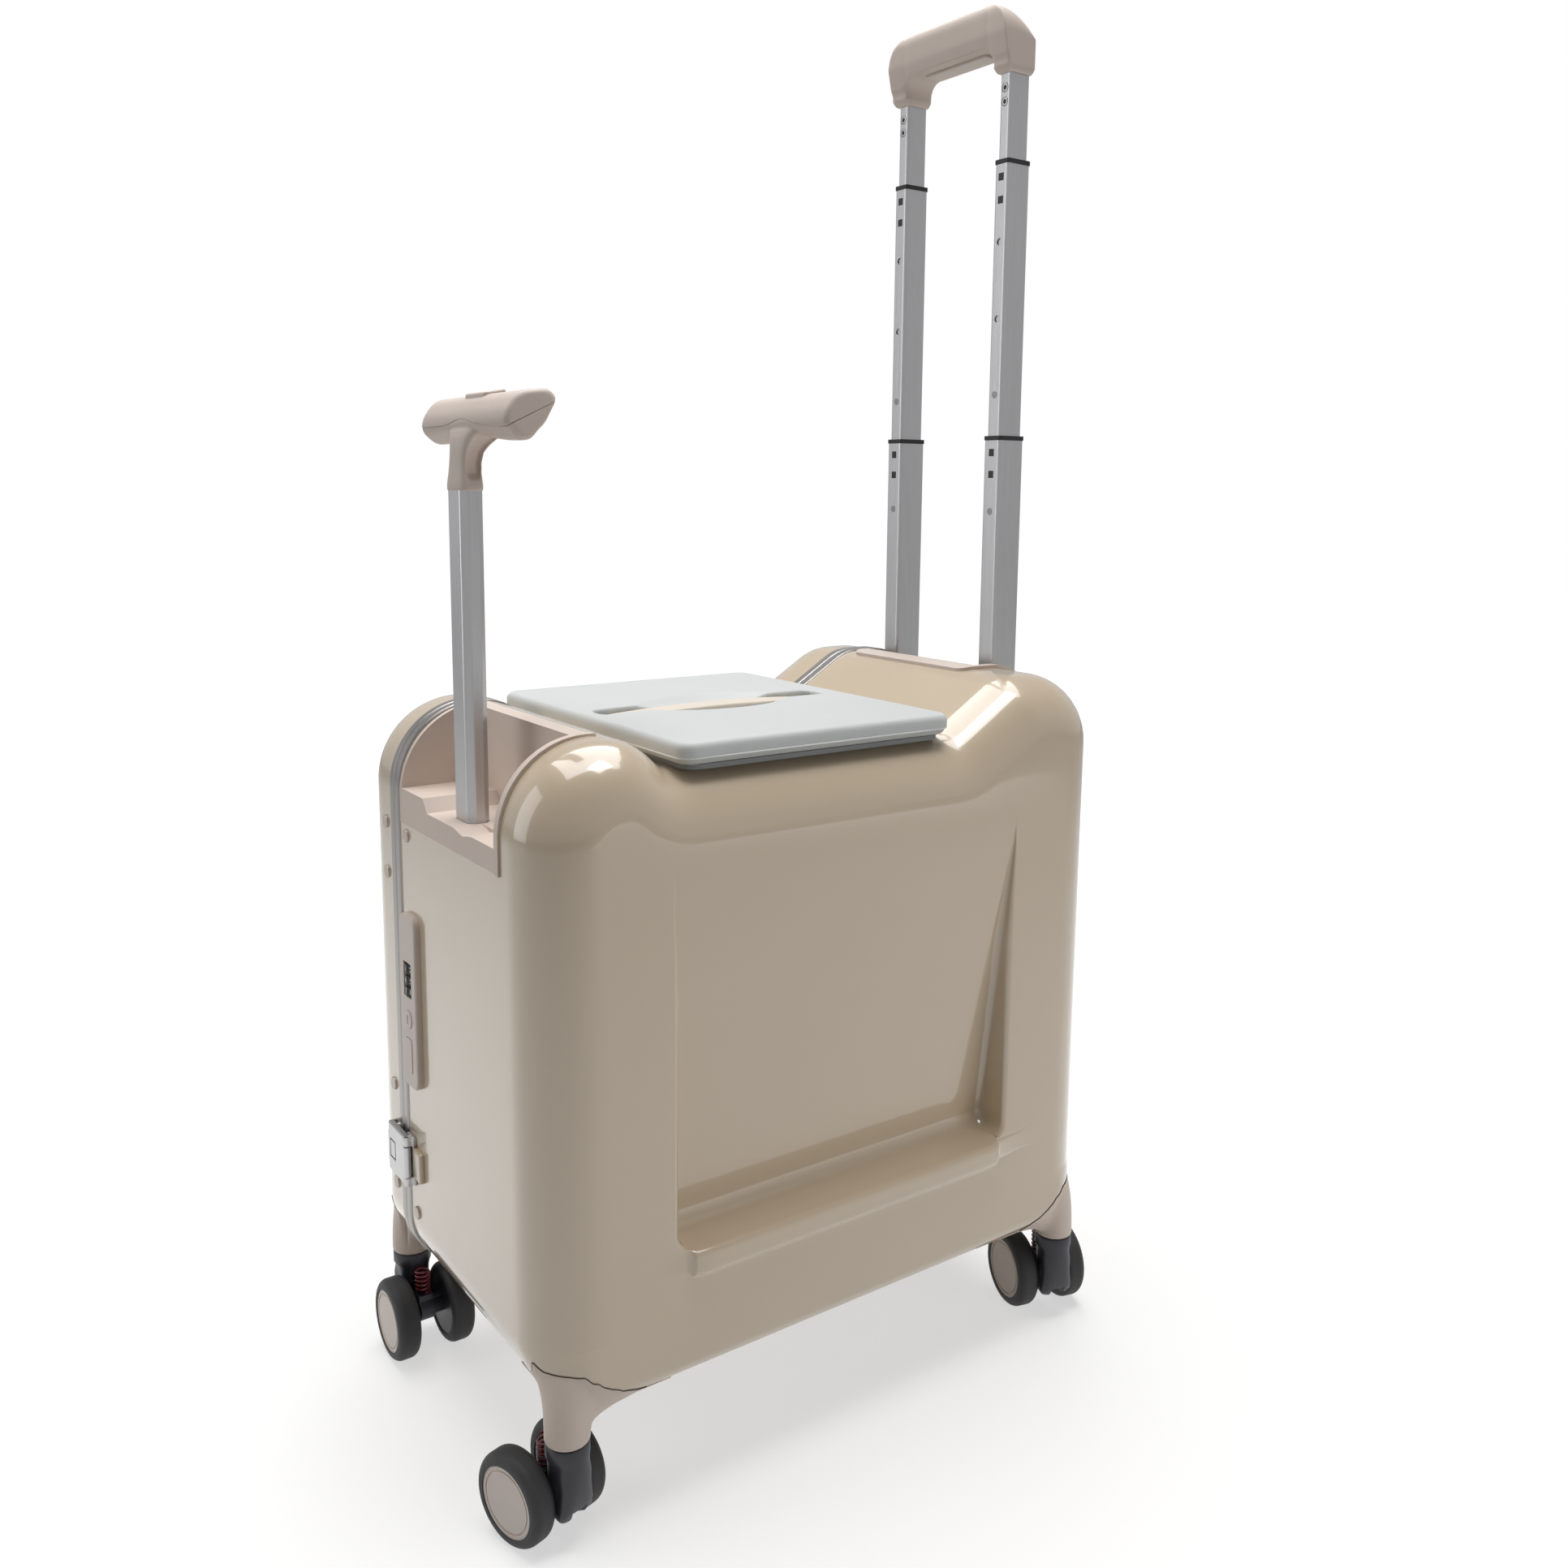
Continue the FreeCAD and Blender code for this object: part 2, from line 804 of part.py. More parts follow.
def make_carry_handle():
    crown_z = handle_low_z + handle_bar_height + handle_bar_rise
    low_bow = Part.Arc(
        Vector(handle_ends[1], -handle_bar_width / 2, handle_low_z),
        Vector(slot_middle_x, -handle_bar_width / 2, crown_z - handle_bar_height),
        Vector(handle_ends[0], -handle_bar_width / 2, handle_low_z),
    )
    high_bow = Part.Arc(
        Vector(handle_ends[0], -handle_bar_width / 2, handle_low_z + handle_bar_height),
        Vector(slot_middle_x, -handle_bar_width / 2, crown_z),
        Vector(handle_ends[1], -handle_bar_width / 2, handle_low_z + handle_bar_height),
    )
    rear_side = Part.LineSegment(low_bow.EndPoint, high_bow.StartPoint)
    front_side = Part.LineSegment(high_bow.EndPoint, low_bow.StartPoint)
    wire = Part.Wire([low_bow.toShape(), rear_side.toShape(), high_bow.toShape(), front_side.toShape()])
    bar = Part.Face(wire).extrude(LEFT * handle_bar_width)
    pieces = [bar]
    for middle_x in handle_posts_x:
        pieces.append(handle_post(middle_x, 0, (handle_foot_top_z, handle_low_z + handle_bar_height / 2)))
        foot = (handle_foot_top_z - handle_foot_height, handle_foot_top_z)
        pieces.append(handle_post(middle_x, handle_foot_reach, foot))
    return fuse(pieces)


def handle_holes(z_range):
    return fuse([handle_post(x, handle_hole_gap, z_range) for x in handle_posts_x])


# Child's handle
neck_bottom_z = rod_top_z
t_grip_split_z = t_grip_centre_z
t_grip_top_z = t_grip_centre_z + t_grip_height / 2


def t_grip_bar():
    points = []
    middle_x = rod_x - t_grip_sweep
    for x_share, z_share in reversed(t_section_shares):
        points.append((middle_x + x_share * t_grip_depth, t_grip_centre_z + z_share * t_grip_height))
    radius = t_section_radius_share * t_grip_height
    y_range = centred(rod_y, t_grip_width)
    bar = side_plate(points, [radius] * len(points), y_range)
    return bar.makeFillet(t_grip_end_radius, edges_at(bar, "y", y_range[0]) + edges_at(bar, "y", y_range[1]))


def neck_section(depth, width, z, sweep):
    outline = rectangle(centred(rod_x - sweep, depth), centred(rod_y, width))
    corner = min(depth, width) / 3
    return rounded_wire(outline, [corner] * len(outline), lambda a, b: Vector(a, b, z))


def make_t_grip():
    bar = t_grip_bar()
    collar_depth = rod_depth + 2 * neck_collar_rim
    collar_width = rod_width + 2 * neck_collar_rim
    collar_top_z = neck_bottom_z + neck_collar_height
    sections = [
        neck_section(collar_depth, collar_width, neck_bottom_z, 0),
        neck_section(collar_depth, collar_width, collar_top_z, 0),
        neck_section(neck_waist_depth, neck_waist_width, neck_waist_z, t_grip_sweep / 4),
        neck_section(neck_top_depth, neck_top_width, t_grip_centre_z - t_grip_height / 4, t_grip_sweep),
    ]
    neck = fuse([
        Part.makeLoft(sections[:2], True, True),
        Part.makeLoft(sections[1:], True, False),
    ])
    wide = (rod_x - 2 * t_grip_depth, rod_x + t_grip_depth)
    long = (rod_y - t_grip_width, rod_y + t_grip_width)
    low_half = box(wide, long, (neck_bottom_z - overrun, t_grip_split_z))
    high_half = box(wide, long, (t_grip_split_z + t_grip_split_gap, t_grip_top_z + overrun))
    lower = fuse([bar.common(low_half), neck])
    lower = lower.cut(rod_bar(0, (neck_bottom_z - overrun, neck_bottom_z + rod_tenon)))
    upper = bar.common(high_half)
    pocket = round_bar(
        t_button_width + 2 * button_gap,
        t_button_length + 2 * button_gap,
        t_button_radius,
        rod_x - t_grip_sweep,
        rod_y,
        (t_grip_top_z + t_button_proud - 2 * t_button_height, t_grip_top_z + overrun),
    )
    return lower.cut(pocket), upper.cut(pocket)


def make_t_button():
    top_z = t_grip_top_z + t_button_proud
    button = round_bar(
        t_button_width,
        t_button_length,
        t_button_radius,
        rod_x - t_grip_sweep,
        rod_y,
        (top_z - t_button_height, top_z),
    )
    return button.makeFillet(t_button_radius / 2, edges_at(button, "z", top_z))


# Trolley
def front_peg(radius, side, z, start_x, length):
    return cylinder(radius, Vector(start_x, side, z), FORWARD, length)


def stage_windows(depth, top_z):
    """Square pegs of a collar's bush that snap into the front wall of its tube."""
    front = trolley_x + depth / 2
    pegs = []
    for side in trolley_sides:
        for drop in window_drops:
            height = centred(top_z - drop, window_size)
            pegs.append(box((front - tube_wall, front), centred(side, window_size), height))
    return pegs


def stage_holes(depth, heights):
    front = trolley_x + depth / 2
    return [
        front_peg(lock_hole_radius, side, z, front - tube_wall, tube_wall)
        for side in trolley_sides
        for z in heights
    ]


def stage_pins(depth, z):
    """Lock pins that stand in the lowest holes of a stage."""
    front = trolley_x + depth / 2
    pins = []
    for side in trolley_sides:
        pin = front_peg(lock_hole_radius, side, z, front - tube_wall, tube_wall + lock_pin_proud)
        pins.append(pin.makeFillet(lock_pin_proud / 2, edges_at(pin, "x", front + lock_pin_proud)))
    return pins


def stage_collars(depth, width, inner_depth, inner_width, top_z):
    """Rings on the top ends of a stage, with their window pegs."""
    ring_range = (top_z - collar_height, top_z)
    outer = trolley_bar(depth + 2 * collar_rim, width + 2 * collar_rim, ring_range)
    through = (ring_range[0] - overrun, ring_range[1] + overrun)
    hollow = trolley_bar(inner_depth + 2 * slide_gap, inner_width + 2 * slide_gap, through)
    return [ring.cut(hole) for ring, hole in zip(outer, hollow)] + stage_windows(depth, top_z)


def make_stage(depth, width, top_z, hole_heights):
    tube_range = (top_z - tube_length, top_z - collar_height)
    cuts = fuse(stage_windows(depth, top_z) + stage_holes(depth, hole_heights))
    return [tube.cut(cuts) for tube in trolley_tube(depth, width, tube_range)]


grip_bottom_z = grip_top_z - grip_height
trolley_reach = grip_bottom_z - rear_hump_z
lower_top_z = rear_hump_z + lower_top_share * trolley_reach
mid_top_z = rear_hump_z + mid_top_share * trolley_reach
lower_hole_z = lower_top_z - lower_hole_drop
mid_hole_heights = [mid_top_z - mid_hole_drop - index * mid_hole_pitch for index in range(mid_hole_count)]
top_rivet_heights = [grip_bottom_z - drop for drop in top_rivet_drops]


def make_top_tubes():
    tube_range = (grip_bottom_z - tube_length, grip_bottom_z + grip_tenon)
    holes = fuse(make_top_rivets())
    return [tube.cut(holes) for tube in trolley_tube(top_depth, top_width, tube_range)]


def make_top_rivets():
    front = trolley_x + top_depth / 2
    return [
        front_peg(top_rivet_radius, side, z, front - tube_wall, tube_wall)
        for side in trolley_sides
        for z in top_rivet_heights
    ]


trigger_bottom_z = grip_top_z - grip_bar_height - trigger_proud


def make_trolley_grip():
    outer_low = trolley_sides[1] - grip_socket_width / 2
    outer_high = trolley_sides[0] + grip_socket_width / 2
    inner_low = outer_low + grip_socket_width
    inner_high = outer_high - grip_socket_width
    bar_low_z = grip_top_z - grip_bar_height
    outline = [
        (outer_low, grip_bottom_z),
        (inner_low, grip_bottom_z),
        (inner_low, bar_low_z),
        (inner_high, bar_low_z),
        (inner_high, grip_bottom_z),
        (outer_high, grip_bottom_z),
        (outer_high, grip_top_z),
        (outer_low, grip_top_z),
    ]
    radii = [0, 0, grip_inner_radius, grip_inner_radius, 0, 0, grip_outer_radius, grip_outer_radius]
    rear, front = centred(trolley_x, grip_depth)
    bar_front = front + grip_bar_bulge
    grip = end_plate(outline, radii, (rear, bar_front))
    profile = [
        (rear, grip_bottom_z),
        (front, grip_bottom_z),
        (front, grip_bottom_z + grip_bulge_rise),
        (bar_front, bar_low_z + grip_bulge_rise),
        (bar_front, grip_top_z),
        (rear, grip_top_z),
    ]
    profile_radii = [0, 0, grip_edge_radius, grip_edge_radius, grip_crown_radius, grip_crown_radius]
    grip = grip.common(side_plate(profile, profile_radii, (outer_low - overrun, outer_high + overrun)))
    tenons = trolley_bar(top_depth, top_width, (grip_bottom_z - overrun, grip_bottom_z + grip_tenon))
    pocket = round_bar(
        trigger_width + 2 * button_gap,
        trigger_length + 2 * button_gap,
        tube_corner,
        trolley_x,
        trolley_y,
        (trigger_bottom_z - overrun, trigger_bottom_z + trigger_height + trigger_travel + button_gap),
    )
    return grip.cut(fuse(tenons)).cut(pocket)


def make_trigger():
    trigger = round_bar(
        trigger_width,
        trigger_length,
        tube_corner,
        trolley_x,
        trolley_y,
        (trigger_bottom_z, trigger_bottom_z + trigger_height),
    )
    return trigger.makeFillet(trigger_proud / 2, edges_at(trigger, "z", trigger_bottom_z))


def make_guides():
    """Fixed outer tubes inside the case for the trolley and for the child's handle."""
    guides = []
    bottom_z = trolley_guide_bottom_z
    top_z = bezel_floor_z - bezel_wall
    inner_depth = lower_depth + 2 * slide_gap
    inner_width = lower_width + 2 * slide_gap
    outer = trolley_bar(inner_depth + 2 * guide_wall, inner_width + 2 * guide_wall, (bottom_z, top_z))
    inner = trolley_bar(inner_depth, inner_width, (bottom_z + guide_wall, top_z + overrun))
    for solid, hollow in zip(outer, inner):
        guides.append(solid.cut(hollow))
    rod_top = well_floor_z - well_wall
    sleeve = rod_bar(slide_gap + guide_wall, (rod_guide_bottom_z, rod_top))
    guides.append(sleeve.cut(rod_bar(slide_gap, (rod_guide_bottom_z + guide_wall, rod_top + overrun))))
    return guides


# Legs and castors
def make_leg(x_sign, y_sign, outer_body):
    rings = []
    for rise, radius, shift_x, shift_y in zip(leg_rises, leg_radii, leg_shifts_x, leg_shifts_y):
        centre = Vector(x_sign * (leg_x - shift_x), y_sign * (leg_y - shift_y), leg_bottom_z + rise)
        rings.append(Part.Wire(Part.makeCircle(radius, centre, UP)))
    post = Part.makeLoft(rings, True, False).cut(outer_body)
    lowest = min(post.Solids, key=lambda solid: solid.BoundBox.ZMin)
    bore_start = Vector(x_sign * leg_x, y_sign * leg_y, leg_bottom_z - overrun)
    return lowest.cut(cylinder(stem_radius + running_gap, bore_start, UP, stem_length + overrun))


yoke_top_z = leg_bottom_z - castor_gap


def place_castor(shape, name):
    x_sign, y_sign, trail_angle = castor_places[name]
    placed = shape.copy()
    placed.rotate(Vector(0, 0, 0), UP, trail_angle)
    placed.translate(Vector(x_sign * leg_x, y_sign * leg_y, 0))
    return placed


def across(radius, x, z, y_range):
    return cylinder(radius, Vector(x, y_range[0], z), LEFT, y_range[1] - y_range[0])


def make_yoke():
    wide = (-yoke_half_width, yoke_half_width)
    slim = (-yoke_slot_half_width, yoke_slot_half_width)
    outline = [(yoke_barrel_radius * along, leg_bottom_z * high) for along, high in yoke_outline_shares]
    boot = side_plate(outline, [yoke_outline_radius] * len(outline), wide)
    barrel_height = yoke_top_z - yoke_barrel_bottom_z
    barrel = cylinder(yoke_barrel_radius, Vector(0, 0, yoke_barrel_bottom_z), UP, barrel_height)
    bracket = box(
        (0, bracket_reach),
        (-bracket_half_width, bracket_half_width),
        (bracket_bottom_z, bracket_bottom_z + bracket_height),
    )
    stem = cylinder(stem_radius, Vector(0, 0, yoke_top_z), UP, stem_length - castor_gap)
    slot = box((yoke_front_wall - yoke_barrel_radius, trail + wheel_radius), slim, (0, yoke_slot_top_z))
    yoke = fuse([boot, barrel]).cut(slot)
    yoke = fuse([yoke, bracket, stem])
    pin = across(pivot_pin_radius, pivot_x, pivot_z, wide)
    return [yoke.cut(pin), pin]


def make_arm():
    wide = (-arm_half_width, arm_half_width)
    pivot_boss = across(arm_pivot_radius, pivot_x, pivot_z, wide)
    axle_boss = across(arm_axle_radius, trail, wheel_radius, wide)
    web = [
        (pivot_x, pivot_z - arm_pivot_radius),
        (trail, wheel_radius - arm_axle_radius),
        (trail, wheel_radius + arm_axle_radius),
        (pivot_x, pivot_z + arm_pivot_radius),
    ]
    bar = side_plate(web, [0] * len(web), wide)
    seat = box(
        centred(arm_seat_x, 2 * arm_seat_half_length),
        wide,
        (wheel_radius, arm_seat_z),
    )
    arm = fuse([pivot_boss, axle_boss, bar, seat])
    through = (-arm_half_width - overrun, arm_half_width + overrun)
    arm = arm.cut(across(pivot_pin_radius + running_gap, pivot_x, pivot_z, through))
    return arm.cut(across(axle_radius + running_gap, trail, wheel_radius, through))


def biarc(start, start_way, end, end_way):
    """Two arcs from one point and direction to another."""
    span = end - start
    ways = start_way + end_way
    spread = 2 * (1 - start_way.dot(end_way))
    reach = (-span.dot(ways) + math.sqrt(span.dot(ways) ** 2 + spread * span.dot(span))) / spread
    first = start + start_way * reach
    second = end - end_way * reach
    joint = (first + second) / 2
    return [tangent_arc(start, first, joint), tangent_arc(joint, second, end)]


def tangent_arc(start, corner, end):
    chord_middle = (start + end) / 2
    rise = corner - chord_middle
    half_chord = (end - start).Length / 2
    sag = half_chord * math.tan(math.atan2(rise.Length, half_chord) / 2)
    rise.normalize()
    return Part.Arc(start, chord_middle + rise * sag, end).toShape()


spring_low_z = arm_seat_z + spring_seat_gap + spring_wire / 2
spring_high_z = bracket_bottom_z - spring_seat_gap - spring_wire / 2
spring_pitch = (spring_high_z - spring_low_z) / spring_turns


def coil_point(turn):
    angle = 2 * math.pi * turn
    return Vector(
        arm_seat_x + spring_radius * math.cos(angle),
        spring_radius * math.sin(angle),
        spring_low_z + spring_pitch * turn,
    )


def coil_way(turn):
    angle = 2 * math.pi * turn
    round_length = 2 * math.pi * spring_radius
    way = Vector(-round_length * math.sin(angle), round_length * math.cos(angle), spring_pitch)
    way.normalize()
    return way


def make_spring():
    edges = []
    quarters = spring_turns * 4
    for quarter in range(quarters):
        low = quarter / 4
        high = (quarter + 1) / 4
        edges += biarc(coil_point(low), coil_way(low), coil_point(high), coil_way(high))
    path = Part.Wire(edges)
    section = Part.Wire(Part.makeCircle(spring_wire / 2, coil_point(0), coil_way(0)))
    return path.makePipeShell([section], True, False)


def make_tyre(y_middle):
    half = tyre_width / 2
    outline = [
        (tyre_bore_radius, y_middle - half),
        (wheel_radius, y_middle - half),
        (wheel_radius, y_middle + half),
        (tyre_bore_radius, y_middle + half),
    ]
    lift = lambda a, b: Vector(trail + a, b, wheel_radius)
    wire = rounded_wire(outline, [0, tyre_shoulder, tyre_shoulder, 0], lift)
    return Part.Face(wire).revolve(Vector(trail, 0, wheel_radius), LEFT, 360)


def make_hub(side):
    """Wheel disc with a grooved outer face and a boss that reaches in to the arm."""
    inner = wheel_spacing / 2 - tyre_width / 2
    outer = wheel_spacing / 2 + tyre_width / 2 - hub_inset
    boss_start = arm_half_width + castor_gap
    disc = across(tyre_bore_radius, trail, wheel_radius, (inner + hub_inset, outer))
    boss = across(hub_boss_radius, trail, wheel_radius, (boss_start, inner + hub_inset))
    groove_range = (outer - hub_groove_depth, outer + overrun)
    groove = across(hub_groove_radius + hub_groove_width, trail, wheel_radius, groove_range)
    groove = groove.cut(across(hub_groove_radius, trail, wheel_radius, groove_range))
    hub = fuse([disc, boss]).cut(groove)
    hub = hub.cut(across(axle_radius, trail, wheel_radius, (0, wheel_spacing / 2)))
    if side > 0:
        return hub
    return mirror_y(hub)


def make_axle():
    return across(axle_radius, trail, wheel_radius, centred(0, wheel_spacing))


# Lock, latch, hinges
lock_low_y = main_edge_y + lock_frame_gap
lock_middle_y = lock_low_y + lock_width / 2
lock_face_x = front_x + lock_height
dial_x = lock_face_x + dial_proud - dial_radius
dial_stack = dial_pitch * dial_count
dial_cavity_top_x = lock_face_x - dial_skin
dial_back_x = dial_x - dial_radius - dial_gap
dial_half_width = dial_radius + dial_gap


def dial_cavity():
    return box(
        (dial_back_x, dial_cavity_top_x),
        centred(lock_middle_y, 2 * dial_half_width),
        centred(dial_centre_z, dial_stack + 2 * dial_gap),
    )


def lock_back_box(grow):
    half_width = dial_half_width + dial_box_wall + grow
    height = dial_stack + 2 * dial_gap + 2 * dial_box_wall + 2 * grow
    return box(
        (dial_back_x - dial_box_wall - grow, front_x),
        centred(lock_middle_y, 2 * half_width),
        centred(dial_centre_z, height),
    )


def slide_pocket():
    outline = rectangle(
        centred(lock_middle_y, slide_button_width + 2 * button_gap),
        centred(slide_button_z, slide_button_length + 2 * button_gap),
    )
    floor_x = lock_face_x + slide_button_proud - slide_button_height - slide_button_travel - button_gap
    return end_plate(outline, [tube_corner] * len(outline), (floor_x, lock_face_x + overrun))


def make_lock_housing():
    outline = rectangle((lock_low_y, lock_low_y + lock_width), (lock_bottom_z, lock_top_z))
    panel = end_plate(outline, [lock_corner_radius] * len(outline), (front_x, lock_face_x))
    panel = panel.makeFillet(lock_edge_radius, edges_at(panel, "x", lock_face_x))
    window = box(
        (dial_x, lock_face_x + overrun),
        centred(lock_middle_y, 2 * dial_window_half_width),
        centred(dial_centre_z, dial_stack + 2 * dial_gap),
    )
    key_start = Vector(front_x, lock_middle_y, key_z)
    key_hole = cylinder(key_radius + running_gap, key_start, FORWARD, lock_height + overrun)
    housing = fuse([panel, lock_back_box(0)])
    housing = housing.cut(dial_cavity()).cut(window).cut(key_hole).cut(slide_pocket())
    spindle_length = dial_stack + 2 * dial_gap
    spindle_start = Vector(dial_x, lock_middle_y, dial_centre_z - spindle_length / 2)
    return [housing, cylinder(spindle_radius, spindle_start, UP, spindle_length)]


def make_dial(index):
    middle_z = dial_centre_z + (index - (dial_count - 1) / 2) * dial_pitch
    low_z = middle_z - dial_height / 2
    dial = cylinder(dial_radius, Vector(dial_x, lock_middle_y, low_z), UP, dial_height)
    cuts = [cylinder(spindle_radius + running_gap, Vector(dial_x, lock_middle_y, low_z), UP, dial_height)]
    for notch in range(dial_notches):
        angle = math.radians(360 * (notch + 1 / 2) / dial_notches)
        notch_x = dial_x + dial_radius * math.cos(angle)
        notch_y = lock_middle_y + dial_radius * math.sin(angle)
        place = Vector(notch_x, notch_y, low_z)
        cuts.append(cylinder(dial_notch_radius, place, UP, dial_height))
    return dial.cut(fuse(cuts))


def make_key_cylinder():
    length = lock_height + key_proud
    plug = cylinder(key_radius, Vector(front_x, lock_middle_y, key_z), FORWARD, length)
    slot = box(
        (lock_face_x - key_proud, lock_face_x + overrun),
        centred(lock_middle_y, key_slot_width),
        centred(key_z, key_slot_length),
    )
    return plug.cut(slot)


def make_slide_button():
    outline = rectangle(
        centred(lock_middle_y, slide_button_width),
        centred(slide_button_z, slide_button_length),
    )
    face_x = lock_face_x + slide_button_proud
    return end_plate(outline, [tube_corner] * len(outline), (face_x - slide_button_height, face_x))


latch_range = centred(latch_z, latch_height)
latch_base_y = main_edge_y + latch_frame_gap
latch_axis_y = latch_base_y + latch_axis_inset
latch_axis_x = front_x + latch_plate + latch_gap + latch_knuckle_radius
latch_tip_y = latch_axis_y - latch_lever_reach
lever_back_x = front_x + latch_plate + 2 * latch_gap
lever_face_x = lever_back_x + latch_lever_thickness
hook_y = latch_tip_y + latch_lip + latch_gap


def make_latch_base():
    width = (latch_base_y, latch_base_y + latch_base_width)
    plate = box((front_x, front_x + latch_plate), width, latch_range)
    pieces = [plate]
    for low_z in (latch_range[0], latch_range[1] - latch_knuckle_length):
        span = (low_z, low_z + latch_knuckle_length)
        foot = Vector(latch_axis_x, latch_axis_y, low_z)
        pieces.append(cylinder(latch_knuckle_radius, foot, UP, latch_knuckle_length))
        pieces.append(box((front_x, latch_axis_x), centred(latch_axis_y, 2 * latch_knuckle_radius), span))
    base = fuse(pieces)
    pin = cylinder(latch_pin_radius, Vector(latch_axis_x, latch_axis_y, latch_range[0]), UP, latch_height)
    return [base.cut(pin), pin]


def latch_boss():
    """Raised pad on the shell beside the latch."""
    boss = box(
        (front_x - latch_boss_proud, front_x + latch_boss_proud),
        (latch_base_y + latch_base_width, latch_boss_end_y),
        centred(latch_z, latch_boss_height),
    )
    boss = boss.makeFillet(latch_boss_radius, boss.Edges)
    outside = box(
        (front_x - shell_wall / 2, front_x + overrun),
        (main_edge_y, side_y),
        centred(latch_z, 2 * latch_boss_height),
    )
    return boss.common(outside)


def make_latch_lever():
    low_z = latch_range[0] + latch_knuckle_length + latch_gap
    high_z = latch_range[1] - latch_knuckle_length - latch_gap
    foot = Vector(latch_axis_x, latch_axis_y, low_z)
    barrel = cylinder(latch_knuckle_radius, foot, UP, high_z - low_z)
    arm = box((lever_back_x, lever_face_x), (latch_tip_y, latch_axis_y), (low_z, high_z))
    cover_y = latch_axis_y - latch_knuckle_radius - latch_gap
    cover = box((lever_back_x, lever_face_x), (latch_tip_y, cover_y), latch_range)
    cover = cover.makeFillet(latch_edge_radius, edges_at(cover, "x", lever_face_x))
    pieces = [barrel, arm, cover]
    lip_height = latch_hook_inset - latch_gap
    for lip_z in (latch_range[0], latch_range[1] - lip_height):
        pieces.append(
            box(
                (front_x + latch_gap, lever_back_x),
                (latch_tip_y, latch_tip_y + latch_lip),
                (lip_z, lip_z + lip_height),
            )
        )
    lever = fuse(pieces)
    pin_hole = cylinder(latch_pin_radius + running_gap, foot, UP, high_z - low_z)
    tab_low = latch_tip_y + latch_lip + tab_slot
    tab_outer = box(
        (lever_face_x - tab_slot, lever_face_x + overrun),
        (tab_low, tab_low + tab_length),
        centred(latch_z, tab_width),
    )
    tab_inner = box(
        (lever_face_x - tab_slot, lever_face_x + overrun),
        (tab_low + tab_slot, tab_low + tab_length - tab_slot),
        centred(latch_z, tab_width - 2 * tab_slot),
    )
    return lever.cut(pin_hole).cut(tab_outer.cut(tab_inner))


def make_latch_hook():
    height = (latch_range[0] + latch_hook_inset, latch_range[1] - latch_hook_inset)
    return box((front_x, front_x + latch_plate), (hook_y, hook_y + latch_hook_width), height)


hinge_axis_x = rear_x - hinge_axis_gap


def hinge_knuckles(spans):
    return [
        cylinder(hinge_knuckle_radius, Vector(hinge_axis_x, frame_joint_y, low), UP, high - low)
        for low, high in spans
    ]


def hinge_leaf_plate(side, middle_z, spans):
    """Leaf on the rear face, with arms that carry its knuckles."""
    edge_y = main_edge_y if side > 0 else door_edge_y
    near = edge_y + side * hinge_gap
    far = near + side * hinge_leaf_width
    width = (min(near, far), max(near, far))
    leaf = box((rear_x - hinge_leaf, rear_x), width, centred(middle_z, hinge_length))
    pieces = [leaf] + hinge_knuckles(spans)
    arm_x = (hinge_axis_x - hinge_leaf / 2, hinge_axis_x + hinge_leaf / 2)
    for low, high in spans:
        pieces.append(box(arm_x, (min(frame_joint_y, near), max(frame_joint_y, near)), (low, high)))
        shoulder = near + side * hinge_leaf
        pieces.append(box((arm_x[0], rear_x), (min(near, shoulder), max(near, shoulder)), (low, high)))
    return fuse(pieces)


def make_hinges():
    main_leaves = []
    door_leaves = []
    third = hinge_length / 3
    for middle_z in hinge_heights:
        low = middle_z - hinge_length / 2
        high = middle_z + hinge_length / 2
        pin = cylinder(hinge_pin_radius, Vector(hinge_axis_x, frame_joint_y, low), UP, hinge_length)
        main_leaf = hinge_leaf_plate(1, middle_z, [(low, low + third), (high - third, high)])
        door_leaf = hinge_leaf_plate(-1, middle_z, [(low + third + hinge_gap, high - third - hinge_gap)])
        bore_start = Vector(hinge_axis_x, frame_joint_y, low)
        bore = cylinder(hinge_pin_radius + running_gap, bore_start, UP, hinge_length)
        main_leaves += [main_leaf.cut(pin), pin]
        door_leaves.append(door_leaf.cut(bore))
    return main_leaves, door_leaves


